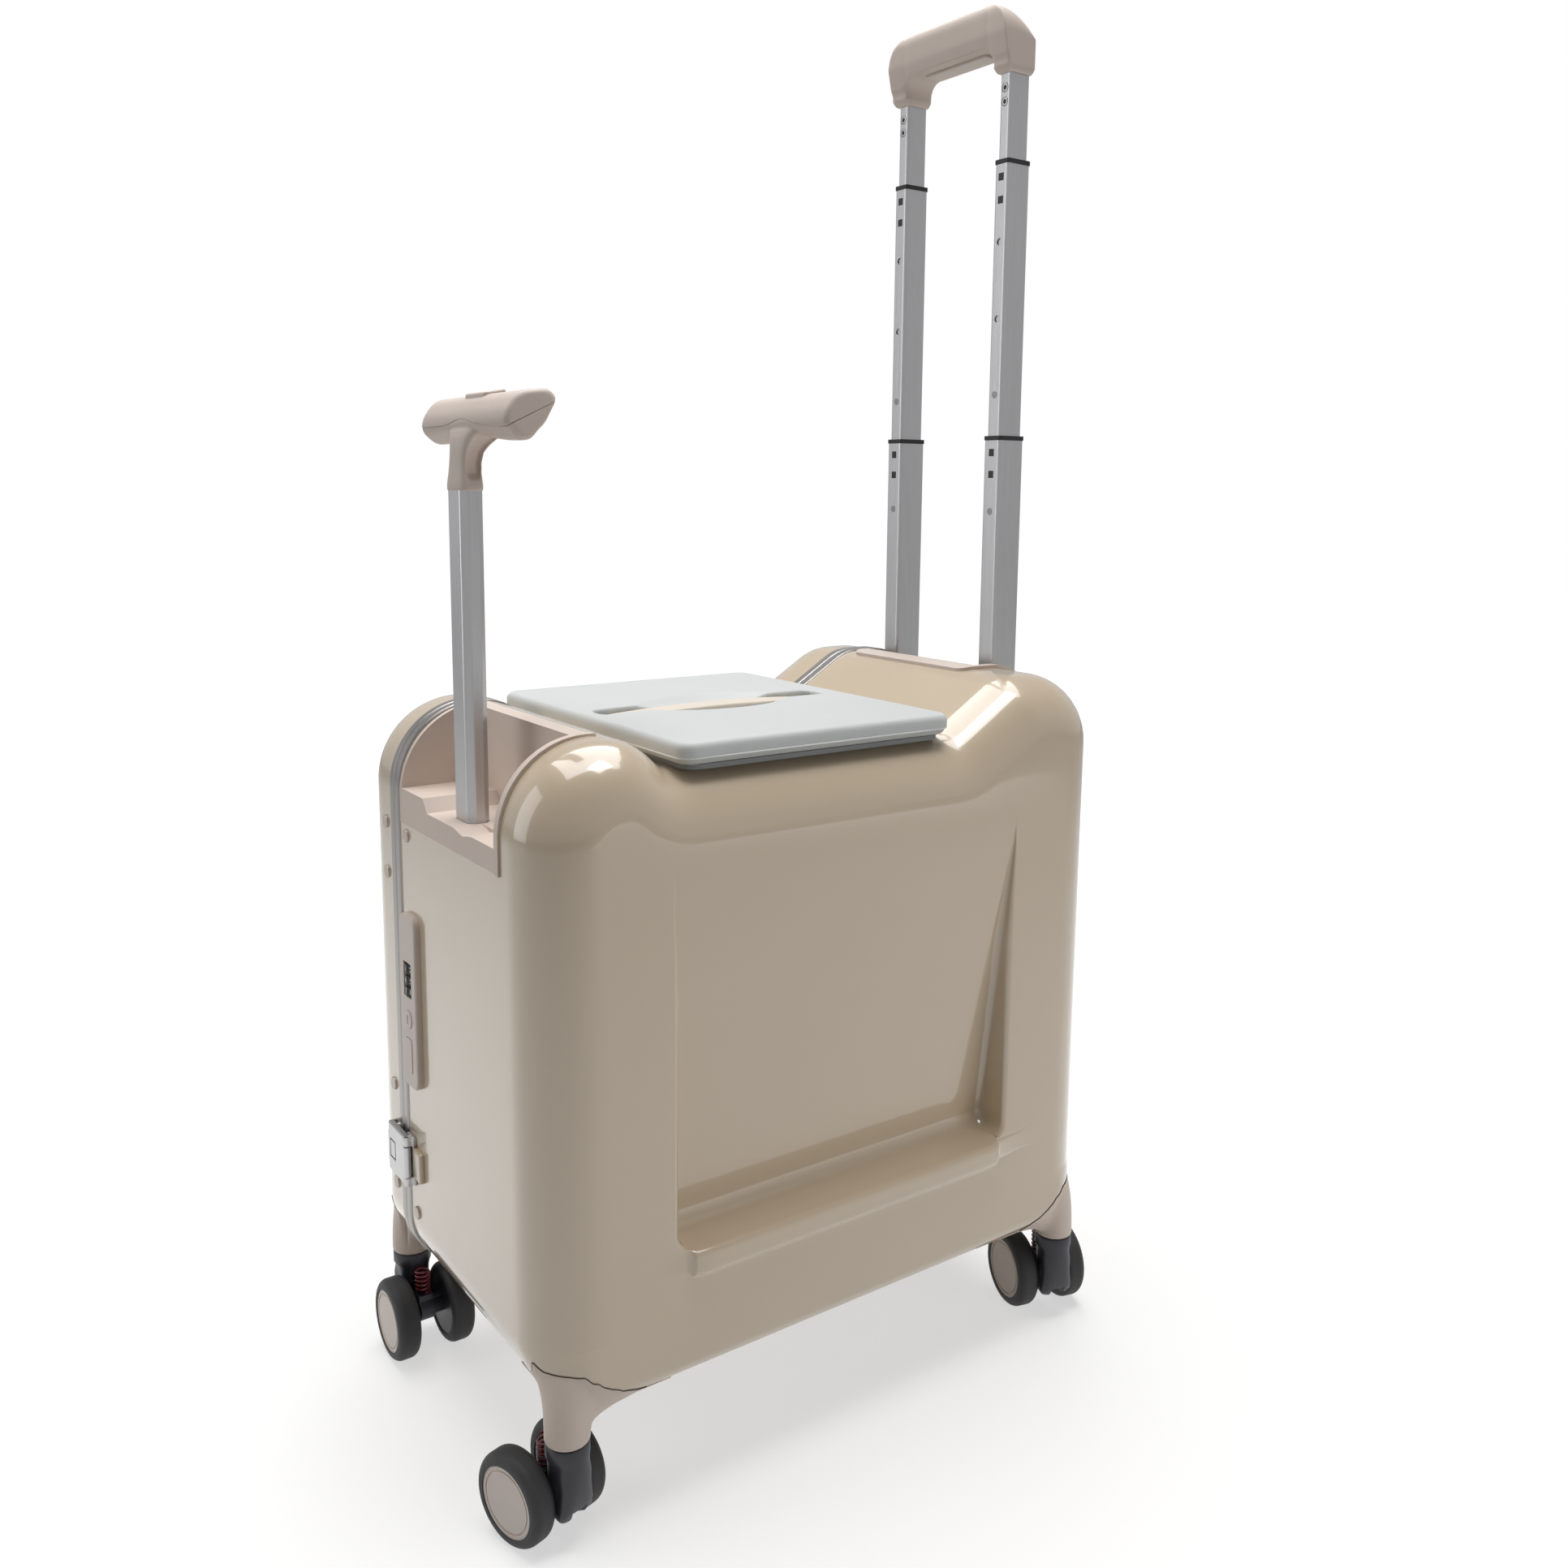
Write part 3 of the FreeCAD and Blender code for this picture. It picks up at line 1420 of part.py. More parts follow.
# Assembly
def build():
    parts = {}
    outer_main = body_half(0, main_edge_y, side_y)
    outer_door = mirror_y(body_half(0, -door_edge_y, side_y))
    outer_whole = body_slab(0, (door_edge_y, main_edge_y))
    recess = recess_tool(0)
    recess_cut = soften_recess(recess)
    recess_wall = recess_tool(shell_wall)
    inner_main = body_half(shell_wall, main_edge_y - overrun, side_y - shell_wall).cut(recess_wall)
    inner_door = body_half(shell_wall, -door_edge_y - overrun, side_y - shell_wall).cut(recess_wall)
    inner_door = mirror_y(inner_door)
    well_envelope = fuse([well_blocks(outer_main), well_void()])
    bead_room = box(
        (well_rear_x - well_rim, front_x + overrun),
        (well_near_y, well_near_y + well_bead_width),
        (well_skirt_z, rear_hump_z),
    )
    bezel_envelope = fuse([bezel_blocks(outer_main), bezel_void()])
    main_rivets = rivet_rows(main_edge_y + rivet_inset, main_rivet_heights, main_rivet_heights)
    door_rivets = rivet_rows(door_edge_y - rivet_inset, door_rivet_heights, door_rear_rivet_heights)
    post_holes = handle_holes((deck_z - shell_wall - overrun, seat_pad_z + overrun))
    lock_room = fuse([lock_back_box(0)])
    bar = footrest_bar()

    main_shell = outer_main.cut(recess_cut).cut(inner_main)
    main_shell = fuse([main_shell, bar.cut(recess_cut).cut(inner_main), latch_boss()])
    main_shell = main_shell.cut(well_envelope).cut(bead_room).cut(bezel_envelope)
    main_shell = main_shell.cut(fuse(main_rivets)).cut(post_holes).cut(lock_room)
    door_shell = outer_door.cut(mirror_y(recess_cut)).cut(inner_door)
    door_shell = fuse([door_shell, mirror_y(bar).cut(mirror_y(recess_cut)).cut(inner_door)])
    door_shell = door_shell.cut(fuse(door_rivets))
    parts["main_shell"] = main_shell.Solids
    parts["door_shell"] = door_shell.Solids

    main_frame = frame_ring(
        (frame_joint_y + frame_gap / 2, main_edge_y),
        (main_edge_y, main_edge_y + flange_length),
    )
    main_frame = main_frame.cut(well_envelope).cut(bezel_envelope).cut(lock_room).cut(fuse(main_rivets))
    door_frame = frame_ring(
        (door_edge_y, frame_joint_y - frame_gap / 2),
        (door_edge_y - flange_length, door_edge_y),
    )
    parts["main_frame"] = main_frame.Solids
    parts["door_frame"] = door_frame.cut(fuse(door_rivets)).Solids
    parts["main_rivets"] = main_rivets
    parts["door_rivets"] = door_rivets

    parts["front_well"] = make_front_well(outer_main).Solids
    parts["trolley_bezel"] = make_trolley_bezel(outer_main)
    parts["guide_tubes"] = make_guides()

    base_outline = seat_outline(seat_base_inset)
    seat_base = flat_plate(base_outline, [seat_corner_radius] * len(base_outline), (seat_base_z, seat_pad_z))
    frame_relief = box(
        (rear_x, front_x),
        (door_edge_y - seat_frame_gap, main_edge_y + seat_frame_gap),
        (seat_base_z - overrun, deck_z + frame_proud + seat_frame_gap),
    )
    door_relief = box(
        (rear_x, front_x),
        (-side_y, door_edge_y),
        (seat_base_z - overrun, seat_base_z + seat_door_gap),
    )
    parts["seat_base"] = seat_base.cut(post_holes).cut(frame_relief).cut(door_relief).Solids
    parts["seat_pad"] = make_seat_pad().Solids
    parts["carry_handle"] = make_carry_handle().Solids

    parts["t_rod"] = [
        rod_bar(0, (rod_top_z - rod_length, rod_top_z + rod_tenon)).cut(
            rod_bar(-rod_wall, (rod_top_z - rod_length - overrun, rod_top_z + rod_tenon + overrun))
        )
    ]
    lower_shell, upper_shell = make_t_grip()
    parts["t_grip_bottom"] = lower_shell.Solids
    parts["t_grip_top"] = upper_shell.Solids
    parts["t_button"] = [make_t_button()]

    parts["lower_tubes"] = make_stage(lower_depth, lower_width, lower_top_z, [lower_hole_z])
    parts["mid_tubes"] = make_stage(mid_depth, mid_width, mid_top_z, mid_hole_heights)
    parts["top_tubes"] = make_top_tubes()
    parts["lower_collars"] = stage_collars(lower_depth, lower_width, mid_depth, mid_width, lower_top_z)
    parts["mid_collars"] = stage_collars(mid_depth, mid_width, top_depth, top_width, mid_top_z)
    parts["lower_pins"] = stage_pins(lower_depth, lower_hole_z)
    parts["mid_pins"] = stage_pins(mid_depth, mid_hole_heights[-1])
    parts["top_rivets"] = make_top_rivets()
    parts["trolley_grip"] = make_trolley_grip().Solids
    parts["trolley_trigger"] = [make_trigger()]

    body = fuse([outer_main, outer_whole, outer_door])
    parts["main_legs"] = [make_leg(x_sign, 1, body) for x_sign in (1, -1)]
    parts["door_legs"] = [make_leg(x_sign, -1, body) for x_sign in (1, -1)]

    wheel_middle = wheel_spacing / 2
    castor = {
        "yoke": make_yoke(),
        "arm": [make_arm()],
        "spring": [make_spring()],
        "tyres": [make_tyre(wheel_middle), make_tyre(-wheel_middle)],
        "hubs": [make_hub(1), make_hub(-1), make_axle()],
    }
    for name in castor_places:
        for piece, solids in castor.items():
            parts[name + "_" + piece] = [place_castor(solid, name) for solid in solids]

    parts["lock_housing"] = make_lock_housing()
    for index in range(dial_count):
        parts["dial_" + str(index + 1)] = [make_dial(index)]
    parts["key_cylinder"] = [make_key_cylinder()]
    parts["lock_button"] = [make_slide_button()]
    parts["latch_base"] = make_latch_base()
    parts["latch_lever"] = [make_latch_lever()]
    parts["latch_hook"] = [make_latch_hook()]
    parts["hinge_main"], parts["hinge_door"] = make_hinges()
    return parts


def report_spring_gap():
    """Least clear distance between the turns of a spring."""
    samples = spring_turns * 24
    points = [coil_point(index / 24) for index in range(samples + 1)]
    gaps = []
    for first in range(samples + 1):
        for second in range(first + 12, samples + 1):
            gaps.append((points[first] - points[second]).Length - spring_wire)
    print("least gap between spring turns", round(min(gaps), 2), "mm")


def main():
    os.makedirs("parts", exist_ok=True)
    for name, solids in build().items():
        shape = solids[0] if len(solids) == 1 else Part.makeCompound(solids)
        shape.exportStep("parts/" + name + ".step")
        print(name, len(solids), "solids", round(shape.Volume), "mm3", shape.isValid())
    report_spring_gap()


main()
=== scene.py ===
import math

import bmesh
import bpy
from mathutils import Matrix, Vector
from mathutils.bvhtree import BVHTree


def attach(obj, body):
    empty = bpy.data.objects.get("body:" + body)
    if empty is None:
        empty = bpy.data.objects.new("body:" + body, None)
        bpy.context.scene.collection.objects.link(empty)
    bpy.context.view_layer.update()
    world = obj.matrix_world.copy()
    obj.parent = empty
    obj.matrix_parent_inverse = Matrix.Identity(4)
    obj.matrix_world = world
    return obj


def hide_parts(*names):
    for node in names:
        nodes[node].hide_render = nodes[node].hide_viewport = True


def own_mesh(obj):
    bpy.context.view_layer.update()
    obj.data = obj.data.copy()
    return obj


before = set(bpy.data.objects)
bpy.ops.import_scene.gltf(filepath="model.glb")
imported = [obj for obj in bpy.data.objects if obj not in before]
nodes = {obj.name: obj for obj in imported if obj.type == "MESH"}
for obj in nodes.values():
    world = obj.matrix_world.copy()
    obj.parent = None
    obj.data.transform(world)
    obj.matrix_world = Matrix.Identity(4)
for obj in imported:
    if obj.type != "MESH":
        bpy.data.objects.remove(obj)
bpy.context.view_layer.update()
scene = bpy.context.scene
MM = 0.001
UP = Vector((0, 0, 1))


# Materials

PATCH_DETAIL, GRAIN_DETAIL = 5.0, 3.0
NOISE_RANGE = (0.3, 0.7)
WHITE = (1, 1, 1, 1)


def srgb(r, g, b):
    """A display colour of 0 to 255 as the linear values a shader takes."""
    return tuple(((c / 255 + 0.055) / 1.055) ** 2.4 for c in (r, g, b)) + (1.0,)


def shade(colour, factor):
    """A colour made lighter or darker."""
    return tuple(c * factor for c in colour[:3]) + (1.0,)


def shader_node(tree, kind, inputs=None):
    """A new shader node, its inputs given as values or as other nodes' outputs."""
    made = tree.nodes.new(kind)
    for key, given in (inputs or {}).items():
        if isinstance(given, bpy.types.NodeSocket):
            tree.links.new(given, made.inputs[key])
        else:
            made.inputs[key].default_value = given
    return made


def map_range(tree, value, source, target, kind="LINEAR"):
    """A value carried from one range to another."""
    made = shader_node(tree, "ShaderNodeMapRange", {
        "Value": value, "From Min": source[0], "From Max": source[1],
        "To Min": target[0], "To Max": target[1]})
    made.interpolation_type = kind
    return made.outputs["Result"]


def combined(tree, operation, a, b):
    """Two values put together by a product, a difference or the like."""
    made = shader_node(tree, "ShaderNodeMath", {0: a, 1: b})
    made.operation = operation
    return made.outputs[0]


def surface(name, colour, rough, swing, patch, grain, depth=0.0, stretch=(1, 1, 1),
            rough_swing=0.05, **sockets):
    """A principled material: a slow patchy colour, and a fine grain in its bump and roughness."""
    material = bpy.data.materials.new(name)
    material.use_nodes = True
    tree = material.node_tree
    shader = tree.nodes["Principled BSDF"]
    place = shader_node(tree, "ShaderNodeTexCoord")
    spread = shader_node(tree, "ShaderNodeMapping",
                         {"Vector": place.outputs["Object"], "Scale": stretch})
    slow, fine = [
        shader_node(tree, "ShaderNodeTexNoise",
                    {"Vector": spread.outputs["Vector"], "Scale": scale, "Detail": detail})
        for scale, detail in ((patch, PATCH_DETAIL), (grain, GRAIN_DETAIL))]
    ramp = shader_node(tree, "ShaderNodeValToRGB", {"Fac": slow.outputs["Fac"]})
    low, high = ramp.color_ramp.elements
    low.position, high.position = NOISE_RANGE
    low.color, high.color = shade(colour, 1 - swing), shade(colour, 1 + swing)
    tree.links.new(ramp.outputs["Color"], shader.inputs["Base Color"])
    level = map_range(tree, fine.outputs["Fac"], NOISE_RANGE,
                      (rough - rough_swing, rough + rough_swing))
    tree.links.new(level, shader.inputs["Roughness"])
    if depth:
        bump = shader_node(tree, "ShaderNodeBump", {
            "Strength": 1.0, "Distance": depth * MM, "Height": fine.outputs["Fac"]})
        tree.links.new(bump.outputs["Normal"], shader.inputs["Normal"])
    for socket, value in sockets.items():
        title = socket.replace("_", " ").title().replace("Ior", "IOR")
        shader.inputs[title].default_value = value
    return material


shell = surface("shell_gloss", srgb(210, 191, 165), rough=0.24, swing=0.012, patch=6.0,
                grain=260.0, depth=0.012, rough_swing=0.03,
                coat_weight=1.0, coat_roughness=0.05, coat_ior=1.6)
lining = surface("lining_cloth", srgb(150, 146, 142), rough=0.85, swing=0.06, patch=120.0,
                 grain=1600.0, depth=0.25, sheen_weight=0.3)
trim = surface("trim_matte", srgb(212, 198, 188), rough=0.5, swing=0.02, patch=25.0,
               grain=2600.0, depth=0.03)
trim_leg = surface("trim_leg", srgb(224, 208, 196), rough=0.46, swing=0.02, patch=25.0,
                   grain=2600.0, depth=0.025)
trim_fine = surface("trim_satin", srgb(222, 209, 199), rough=0.42, swing=0.015, patch=20.0,
                    grain=2600.0, depth=0.018)
skin = surface("seat_skin", srgb(207, 210, 209), rough=0.55, swing=0.012, patch=14.0,
               grain=1500.0, depth=0.05, sheen_weight=0.15)
skin_low = surface("seat_skin_low", srgb(186, 189, 188), rough=0.55, swing=0.012, patch=14.0,
                   grain=1500.0, depth=0.05)
piping = surface("seat_piping", srgb(240, 241, 240), rough=0.4, swing=0.02, patch=60.0,
                 grain=1500.0)
tray = surface("seat_tray", srgb(128, 130, 130), rough=0.55, swing=0.04, patch=30.0,
               grain=1800.0, depth=0.04)
tube = surface("tube_aluminium", srgb(196, 196, 198), rough=0.36, swing=0.03, patch=60.0,
               grain=500.0, depth=0.006, stretch=(14, 14, 0.5), metallic=0.9, anisotropic=0.4)
frame_metal = surface("frame_aluminium", srgb(158, 155, 152), rough=0.34, swing=0.03, patch=60.0,
                      grain=420.0, depth=0.006, stretch=(1, 12, 1), metallic=0.9)
latch_metal = surface("latch_metal", srgb(196, 196, 197), rough=0.32, swing=0.03, patch=120.0,
                      grain=800.0, depth=0.008, metallic=0.85)
black = surface("black_plastic", srgb(30, 30, 32), rough=0.45, swing=0.1, patch=30.0,
                grain=2200.0, depth=0.03)
fork = surface("fork_plastic", srgb(48, 48, 56), rough=0.4, swing=0.08, patch=30.0,
               grain=2000.0, depth=0.04)
rubber = surface("tyre_rubber", srgb(52, 52, 54), rough=0.62, swing=0.1, patch=90.0,
                 grain=1800.0, depth=0.05)
cap = surface("hub_plastic", srgb(234, 222, 212), rough=0.42, swing=0.025, patch=40.0,
              grain=2000.0, depth=0.03)
coil = surface("spring_steel", srgb(126, 32, 42), rough=0.32, swing=0.1, patch=200.0,
               grain=900.0, depth=0.01, coat_weight=0.4)
rivet = surface("rivet_metal", srgb(200, 188, 178), rough=0.36, swing=0.03, patch=120.0,
                grain=1400.0, depth=0.01, metallic=0.35)
drawn = surface("inner_tube", srgb(150, 150, 152), rough=0.4, swing=0.05, patch=60.0,
                grain=700.0, depth=0.01, stretch=(10, 10, 0.5), metallic=0.9)
cream = surface("handle_cream", srgb(224, 213, 199), rough=0.45, swing=0.015, patch=30.0,
                grain=2200.0, depth=0.025)
# The dark bead along each leg's seam is a painted shadow line where the leg meets the shell.
painted_seam_shadow = surface("seam_shadow", srgb(84, 74, 66), rough=0.8, swing=0.08, patch=60.0,
                    grain=900.0)
white_ink = surface("dial_digits", srgb(236, 234, 230), rough=0.5, swing=0.03, patch=300.0,
                    grain=1500.0)


# Numbers and angles

def smoothstep(t):
    """A soft step from 0 to 1."""
    t = min(1.0, max(0.0, t))
    return t * t * (3 - 2 * t)


def mix(a, b, t):
    """The value a share of the way from a to b."""
    return a + (b - a) * t


def bell(t):
    """A soft hump, 1 at the middle."""
    return math.exp(-t ** 2)


def signed_power(value, power):
    """A power that keeps the sign, for rings between an oval and a rectangle."""
    return math.copysign(abs(value) ** power, value)


def turns(count):
    """Angles evenly round a circle."""
    return [2 * math.pi * k / count for k in range(count)]


def quarter(count):
    """Angles from 0 to a right angle."""
    return [math.pi / 2 * k / count for k in range(count + 1)]


def stations(spans):
    """Grid lines from (start, end, step) spans."""
    lines = []
    for start, end, step in spans:
        count = max(1, round((end - start) / step))
        lines += [mix(start, end, k / count) for k in range(count)]
    return lines + [spans[-1][1]]


# Mesh helpers, in millimetres of the shared frame

WELD = 0.003
SHARP_ANGLE, EDGE_ANGLE, ALL_SMOOTH = 40.0, 35.0, 180.0
SMOOTH_SHARE = 0.5
CORNER_STEPS = 8
CAD_NORMAL_WEIGHT, SHELL_NORMAL_WEIGHT = 80, 60


def placed(name, data):
    """A new object in the scene."""
    obj = bpy.data.objects.new(name, data)
    scene.collection.objects.link(obj)
    return obj


def piece(name, mesh, materials, body, slot, *stands_for):
    """Puts a mesh on a body, with its materials, and hides the CAD nodes it stands for."""
    obj = placed(name, mesh)
    for material in materials:
        mesh.materials.append(material)
    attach(obj, body)
    if stands_for:
        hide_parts(*stands_for)
    return obj


def to_mesh(name, bm, sharp=SHARP_ANGLE):
    """A mesh from a bmesh in millimetres, with edges sharper than an angle kept crisp."""
    bmesh.ops.scale(bm, vec=(MM, MM, MM), verts=bm.verts)
    for face in bm.faces:
        face.smooth = True
    limit = math.radians(sharp)
    for edge in bm.edges:
        edge.smooth = len(edge.link_faces) == 2 and edge.calc_face_angle(0.0) < limit
    mesh = bpy.data.meshes.new(name)
    bm.to_mesh(mesh)
    bm.free()
    return mesh


def formed(name, bm, sharp, materials, body, slot, *stands_for):
    """A piece straight from a bmesh."""
    return piece(name, to_mesh(name, bm, sharp), materials, body, slot, *stands_for)


def loft(rings, caps=True):
    """A bmesh through closed rings of points, each ring with as many points as the next."""
    bm = bmesh.new()
    rows = [[bm.verts.new(point) for point in ring] for ring in rings]
    count = len(rings[0])
    for low, high in zip(rows, rows[1:]):
        for i in range(count):
            k = (i + 1) % count
            bm.faces.new((low[i], low[k], high[k], high[i]))
    if caps:
        bm.faces.new(list(reversed(rows[0])))
        bm.faces.new(rows[-1])
    bmesh.ops.recalc_face_normals(bm, faces=bm.faces)
    return bm


def box(centre, size):
    """A block as a bmesh."""
    bm = bmesh.new()
    matrix = Matrix.Translation(centre) @ Matrix.Diagonal((*size, 1))
    bmesh.ops.create_cube(bm, size=1.0, matrix=matrix)
    return bm


def copy_of(node):
    """A welded copy of a CAD node's mesh, in millimetres."""
    bm = bmesh.new()
    bm.from_mesh(nodes[node].data)
    bmesh.ops.scale(bm, vec=(1 / MM, 1 / MM, 1 / MM), verts=bm.verts)
    bmesh.ops.remove_doubles(bm, verts=bm.verts, dist=WELD)
    bmesh.ops.recalc_face_normals(bm, faces=bm.faces)
    return bm


def mirrored(bm, x, y):
    """The bmesh in another corner of the case."""
    result = bm.copy()
    bmesh.ops.scale(result, vec=(x, y, 1), verts=result.verts)
    if x * y < 0:
        bmesh.ops.reverse_faces(result, faces=result.faces)
    return result


def joined(parts):
    """Several bmeshes as one."""
    whole = bmesh.new()
    for part in parts:
        carrier = bpy.data.meshes.new("carrier")
        part.to_mesh(carrier)
        part.free()
        whole.from_mesh(carrier)
        bpy.data.meshes.remove(carrier)
    return whole


def baked(obj):
    """The mesh of an object with its modifiers applied; the object itself goes."""
    graph = bpy.context.evaluated_depsgraph_get()
    mesh = bpy.data.meshes.new_from_object(obj.evaluated_get(graph))
    bpy.data.objects.remove(obj)
    return mesh


def remeshed(bm, voxel, rounds):
    """A bmesh remade of even small faces and smoothed, so that its edges turn soft."""
    obj = placed("rough", to_mesh("rough", bm))
    remesh = obj.modifiers.new("even", "REMESH")
    remesh.mode = "VOXEL"
    remesh.voxel_size = voxel * MM
    remesh.use_smooth_shade = True
    smooth = obj.modifiers.new("soft", "SMOOTH")
    smooth.factor = SMOOTH_SHARE
    smooth.iterations = rounds
    result = baked(obj)
    for polygon in result.polygons:
        polygon.use_smooth = True
    return result


def soft_edges(obj, width, angle=EDGE_ANGLE, segments=2):
    """Rounds an object's sharp edges."""
    edge = obj.modifiers.new("edge", "BEVEL")
    edge.width = width * MM
    edge.segments = segments
    edge.limit_method = "ANGLE"
    edge.angle_limit = math.radians(angle)


def even_normals(obj, weight):
    """Lets the large faces set the shading next to small ones."""
    normal = obj.modifiers.new("even", "WEIGHTED_NORMAL")
    normal.keep_sharp = True
    normal.weight = weight


def dress(node, material, bevel=0.0):
    """Gives a CAD node its material, softened edges and even normals."""
    obj = nodes[node]
    obj.data.materials.clear()
    obj.data.materials.append(material)
    for polygon in obj.data.polygons:
        polygon.material_index = 0
        polygon.use_smooth = True
    if bevel:
        weld = obj.modifiers.new("weld", "WELD")
        weld.merge_threshold = WELD * MM
        soft_edges(obj, bevel)
        even_normals(obj, CAD_NORMAL_WEIGHT)
    return obj


def rounded_rectangle(x0, x1, y0, y1, r):
    """Points round a rectangle with round corners."""
    points = []
    for cx, cy, start in ((x1 - r, y1 - r, 0), (x0 + r, y1 - r, 90),
                          (x0 + r, y0 + r, 180), (x1 - r, y0 + r, 270)):
        for k in range(CORNER_STEPS + 1):
            a = math.radians(start + 90 * k / CORNER_STEPS)
            points.append(Vector((cx + r * math.cos(a), cy + r * math.sin(a))))
    return points


def tube_along(points, radius, closed=True, sides=8):
    """A round bead along points in space."""
    rings = []
    count = len(points)
    for i, p in enumerate(points):
        before = points[i - 1] if closed or i else points[0]
        after = points[(i + 1) % count] if closed or i < count - 1 else points[-1]
        along = (after - before).normalized()
        side = along.cross(UP).normalized()
        up = side.cross(along)
        rings.append([p + side * radius * math.cos(a) + up * radius * math.sin(a)
                      for a in turns(sides)])
    return loft(rings + rings[:1] if closed else rings, not closed)


# The two halves of the shell: one outline swept across, with rounded sides and a recess in each

BOTTOM, DECK, FRONT, REAR = 77.0, 433.0, 212.0, -212.0
FRONT_TOP, REAR_TOP = 453, 467
CORNERS = [(REAR, BOTTOM, 42), (FRONT, BOTTOM, 42), (FRONT, FRONT_TOP, 54), (142, FRONT_TOP, 40),
           (120, DECK, 16), (-84, DECK, 24), (-140, REAR_TOP, 40), (REAR, REAR_TOP, 48)]
SIDE_Y, SIDE_R, UNDER_R, WALL = 134.0, 38.0, 15.0, 2.6
SIDE_RADII = {0: (SIDE_R, UNDER_R), 1: (UNDER_R, SIDE_R)}
ARC_DEGREES, ARC_STEPS, STRAIGHT_STEP, SIDE_STEPS = 4, 4, 24, 14
CROSSING_MIN = 0.01
FRONT_FACE, TOP_FACE = 200, 430
WELL_X, WELL_Y, WELL_Z = 153.5, 87, 381.0
BEZEL_X, BEZEL_Y = (-207.0, -152.0), 62
LOCK_Y, LOCK_Z = (-60, -38), (268.5, 297.5)
MAIN_LINES = [-64, *LOCK_Y, 0, 30, BEZEL_Y, WELL_Y]
DOOR_LINES = [79, 86]
WHOLE_LINES = [-64, 0, 87]
SHELL_SHARP = 48


def outline():
    """Samples of the closed outline: place, outward normal and the side's radius there."""
    count = len(CORNERS)
    arcs = []
    for i, (x, z, r) in enumerate(CORNERS):
        p = Vector((x, z))
        before = (p - Vector(CORNERS[i - 1][:2])).normalized()
        after = (Vector(CORNERS[(i + 1) % count][:2]) - p).normalized()
        turn = math.atan2(before.x * after.y - before.y * after.x, before.dot(after))
        reach = r * math.tan(abs(turn) / 2)
        start = p - before * reach
        side = 1 if turn > 0 else -1
        centre = start + Vector((-before.y, before.x)) * r * side
        steps = max(ARC_STEPS, math.ceil(abs(math.degrees(turn)) / ARC_DEGREES))
        first, last = SIDE_RADII.get(i, (SIDE_R, SIDE_R))
        points = []
        for k in range(steps + 1):
            c, s = math.cos(turn * k / steps), math.sin(turn * k / steps)
            d = Vector((before.x * c - before.y * s, before.x * s + before.y * c))
            n = Vector((d.y, -d.x))
            points.append((centre + n * r * side, n, mix(first, last, k / steps)))
        arcs.append(points)
    samples = []
    for i, points in enumerate(arcs):
        samples += points
        a, b = points[-1], arcs[(i + 1) % count][0]
        steps = max(1, round((b[0] - a[0]).length / STRAIGHT_STEP))
        samples += [(a[0].lerp(b[0], k / steps), a[1], a[2]) for k in range(1, steps)]
    return samples


def broken(samples, axis, value, holds):
    """The samples with one more where the outline passes a value."""
    result = []
    for a, b in zip(samples, samples[1:] + samples[:1]):
        result.append(a)
        u, v = a[0][axis] - value, b[0][axis] - value
        if u * v < 0 and min(abs(u), abs(v)) > CROSSING_MIN and holds(a[0]):
            t = u / (u - v)
            normal = a[1].lerp(b[1], t).normalized()
            result.append((a[0].lerp(b[0], t), normal, mix(a[2], b[2], t)))
    return result


# The recess: its walls, the foot bar as (height, how far it stands out) and steps in from the rim

RECESS_X, RECESS_TOP, RECESS_DEPTH, TOP_EASE = (-129.0, 131.5), 383.0, 24.0, 0.05
COVE_Z, COVE_R, COVE_STEPS = 170.5, 9.0, 8
RIM_R, FOOT_R, WALL_LEAN, RIM_CORNER, RIM_Z = 4.0, 5.0, 0.15, 11.0, 158.0
BAR_X, BAR_Z, BAR_END, BAR_FLAT = 113.5, 150.0, 8.0, 0.4
BAR = [(134, 0), (136.4, 0), (138, 0), (139, 0.1), (139.8, 0.35), (140.4, 0.9), (141, 1.8),
       (141.8, 3), (143, 4.1), (144.8, 5), (147.4, 5.6), (150.5, 5.95), (153, 6), (154.6, 5.8),
       (155.8, 5.3), (156.8, 4.5), (157.5, 3.4), (158, 2), (158.3, 0.2), (158.9, -3),
       (159.5, -6.5), (160.2, -10), (160.8, -12.8)]
WALL_STEPS = [0, 0.6, 1.2, 1.9, 2.6, 3.2, 3.7, 4, 4.15, 4.4, 4.9, 5.6, 6.5, 7.4, 8.3, 9.15]
FLOOR_SPANS = [(COVE_Z, 190, 3), (190, 350, 6), (350, RECESS_TOP, 3)]
GRID_X, GRID_MARGIN, FLOOR_COLUMNS, LEAST_WALL = (-141.0, 143.0), 3.0, 36, 0.2


def side_profile():
    """The side's section from the bottom up: foot bar, ledge, cove and floor of the recess."""
    points = list(BAR)
    for a in quarter(COVE_STEPS):
        points.append((COVE_Z - COVE_R * math.cos(a),
                       -RECESS_DEPTH + COVE_R * (1 - math.sin(a))))
    full = math.hypot(1, TOP_EASE) - TOP_EASE
    for z in stations(FLOOR_SPANS)[1:]:
        t = (RECESS_TOP - z) / (RECESS_TOP - COVE_Z)
        points.append((z, -RECESS_DEPTH * (math.hypot(t, TOP_EASE) - TOP_EASE) / full))
    return points + [(RECESS_TOP + 2.5, 0.0), (RECESS_TOP + 5, 0.0)]


def wall_depth(step, depth):
    """How deep the recess is a step in from its rim, with a rounded rim and foot."""
    scale = min(1.0, depth / (RIM_R + FOOT_R))
    if step <= RIM_R:
        return scale * (RIM_R - math.sqrt(RIM_R ** 2 - step ** 2))
    away = min(FOOT_R, RIM_R + FOOT_R + WALL_LEAN - step)
    return depth - scale * (FOOT_R - math.sqrt(FOOT_R ** 2 - away ** 2))


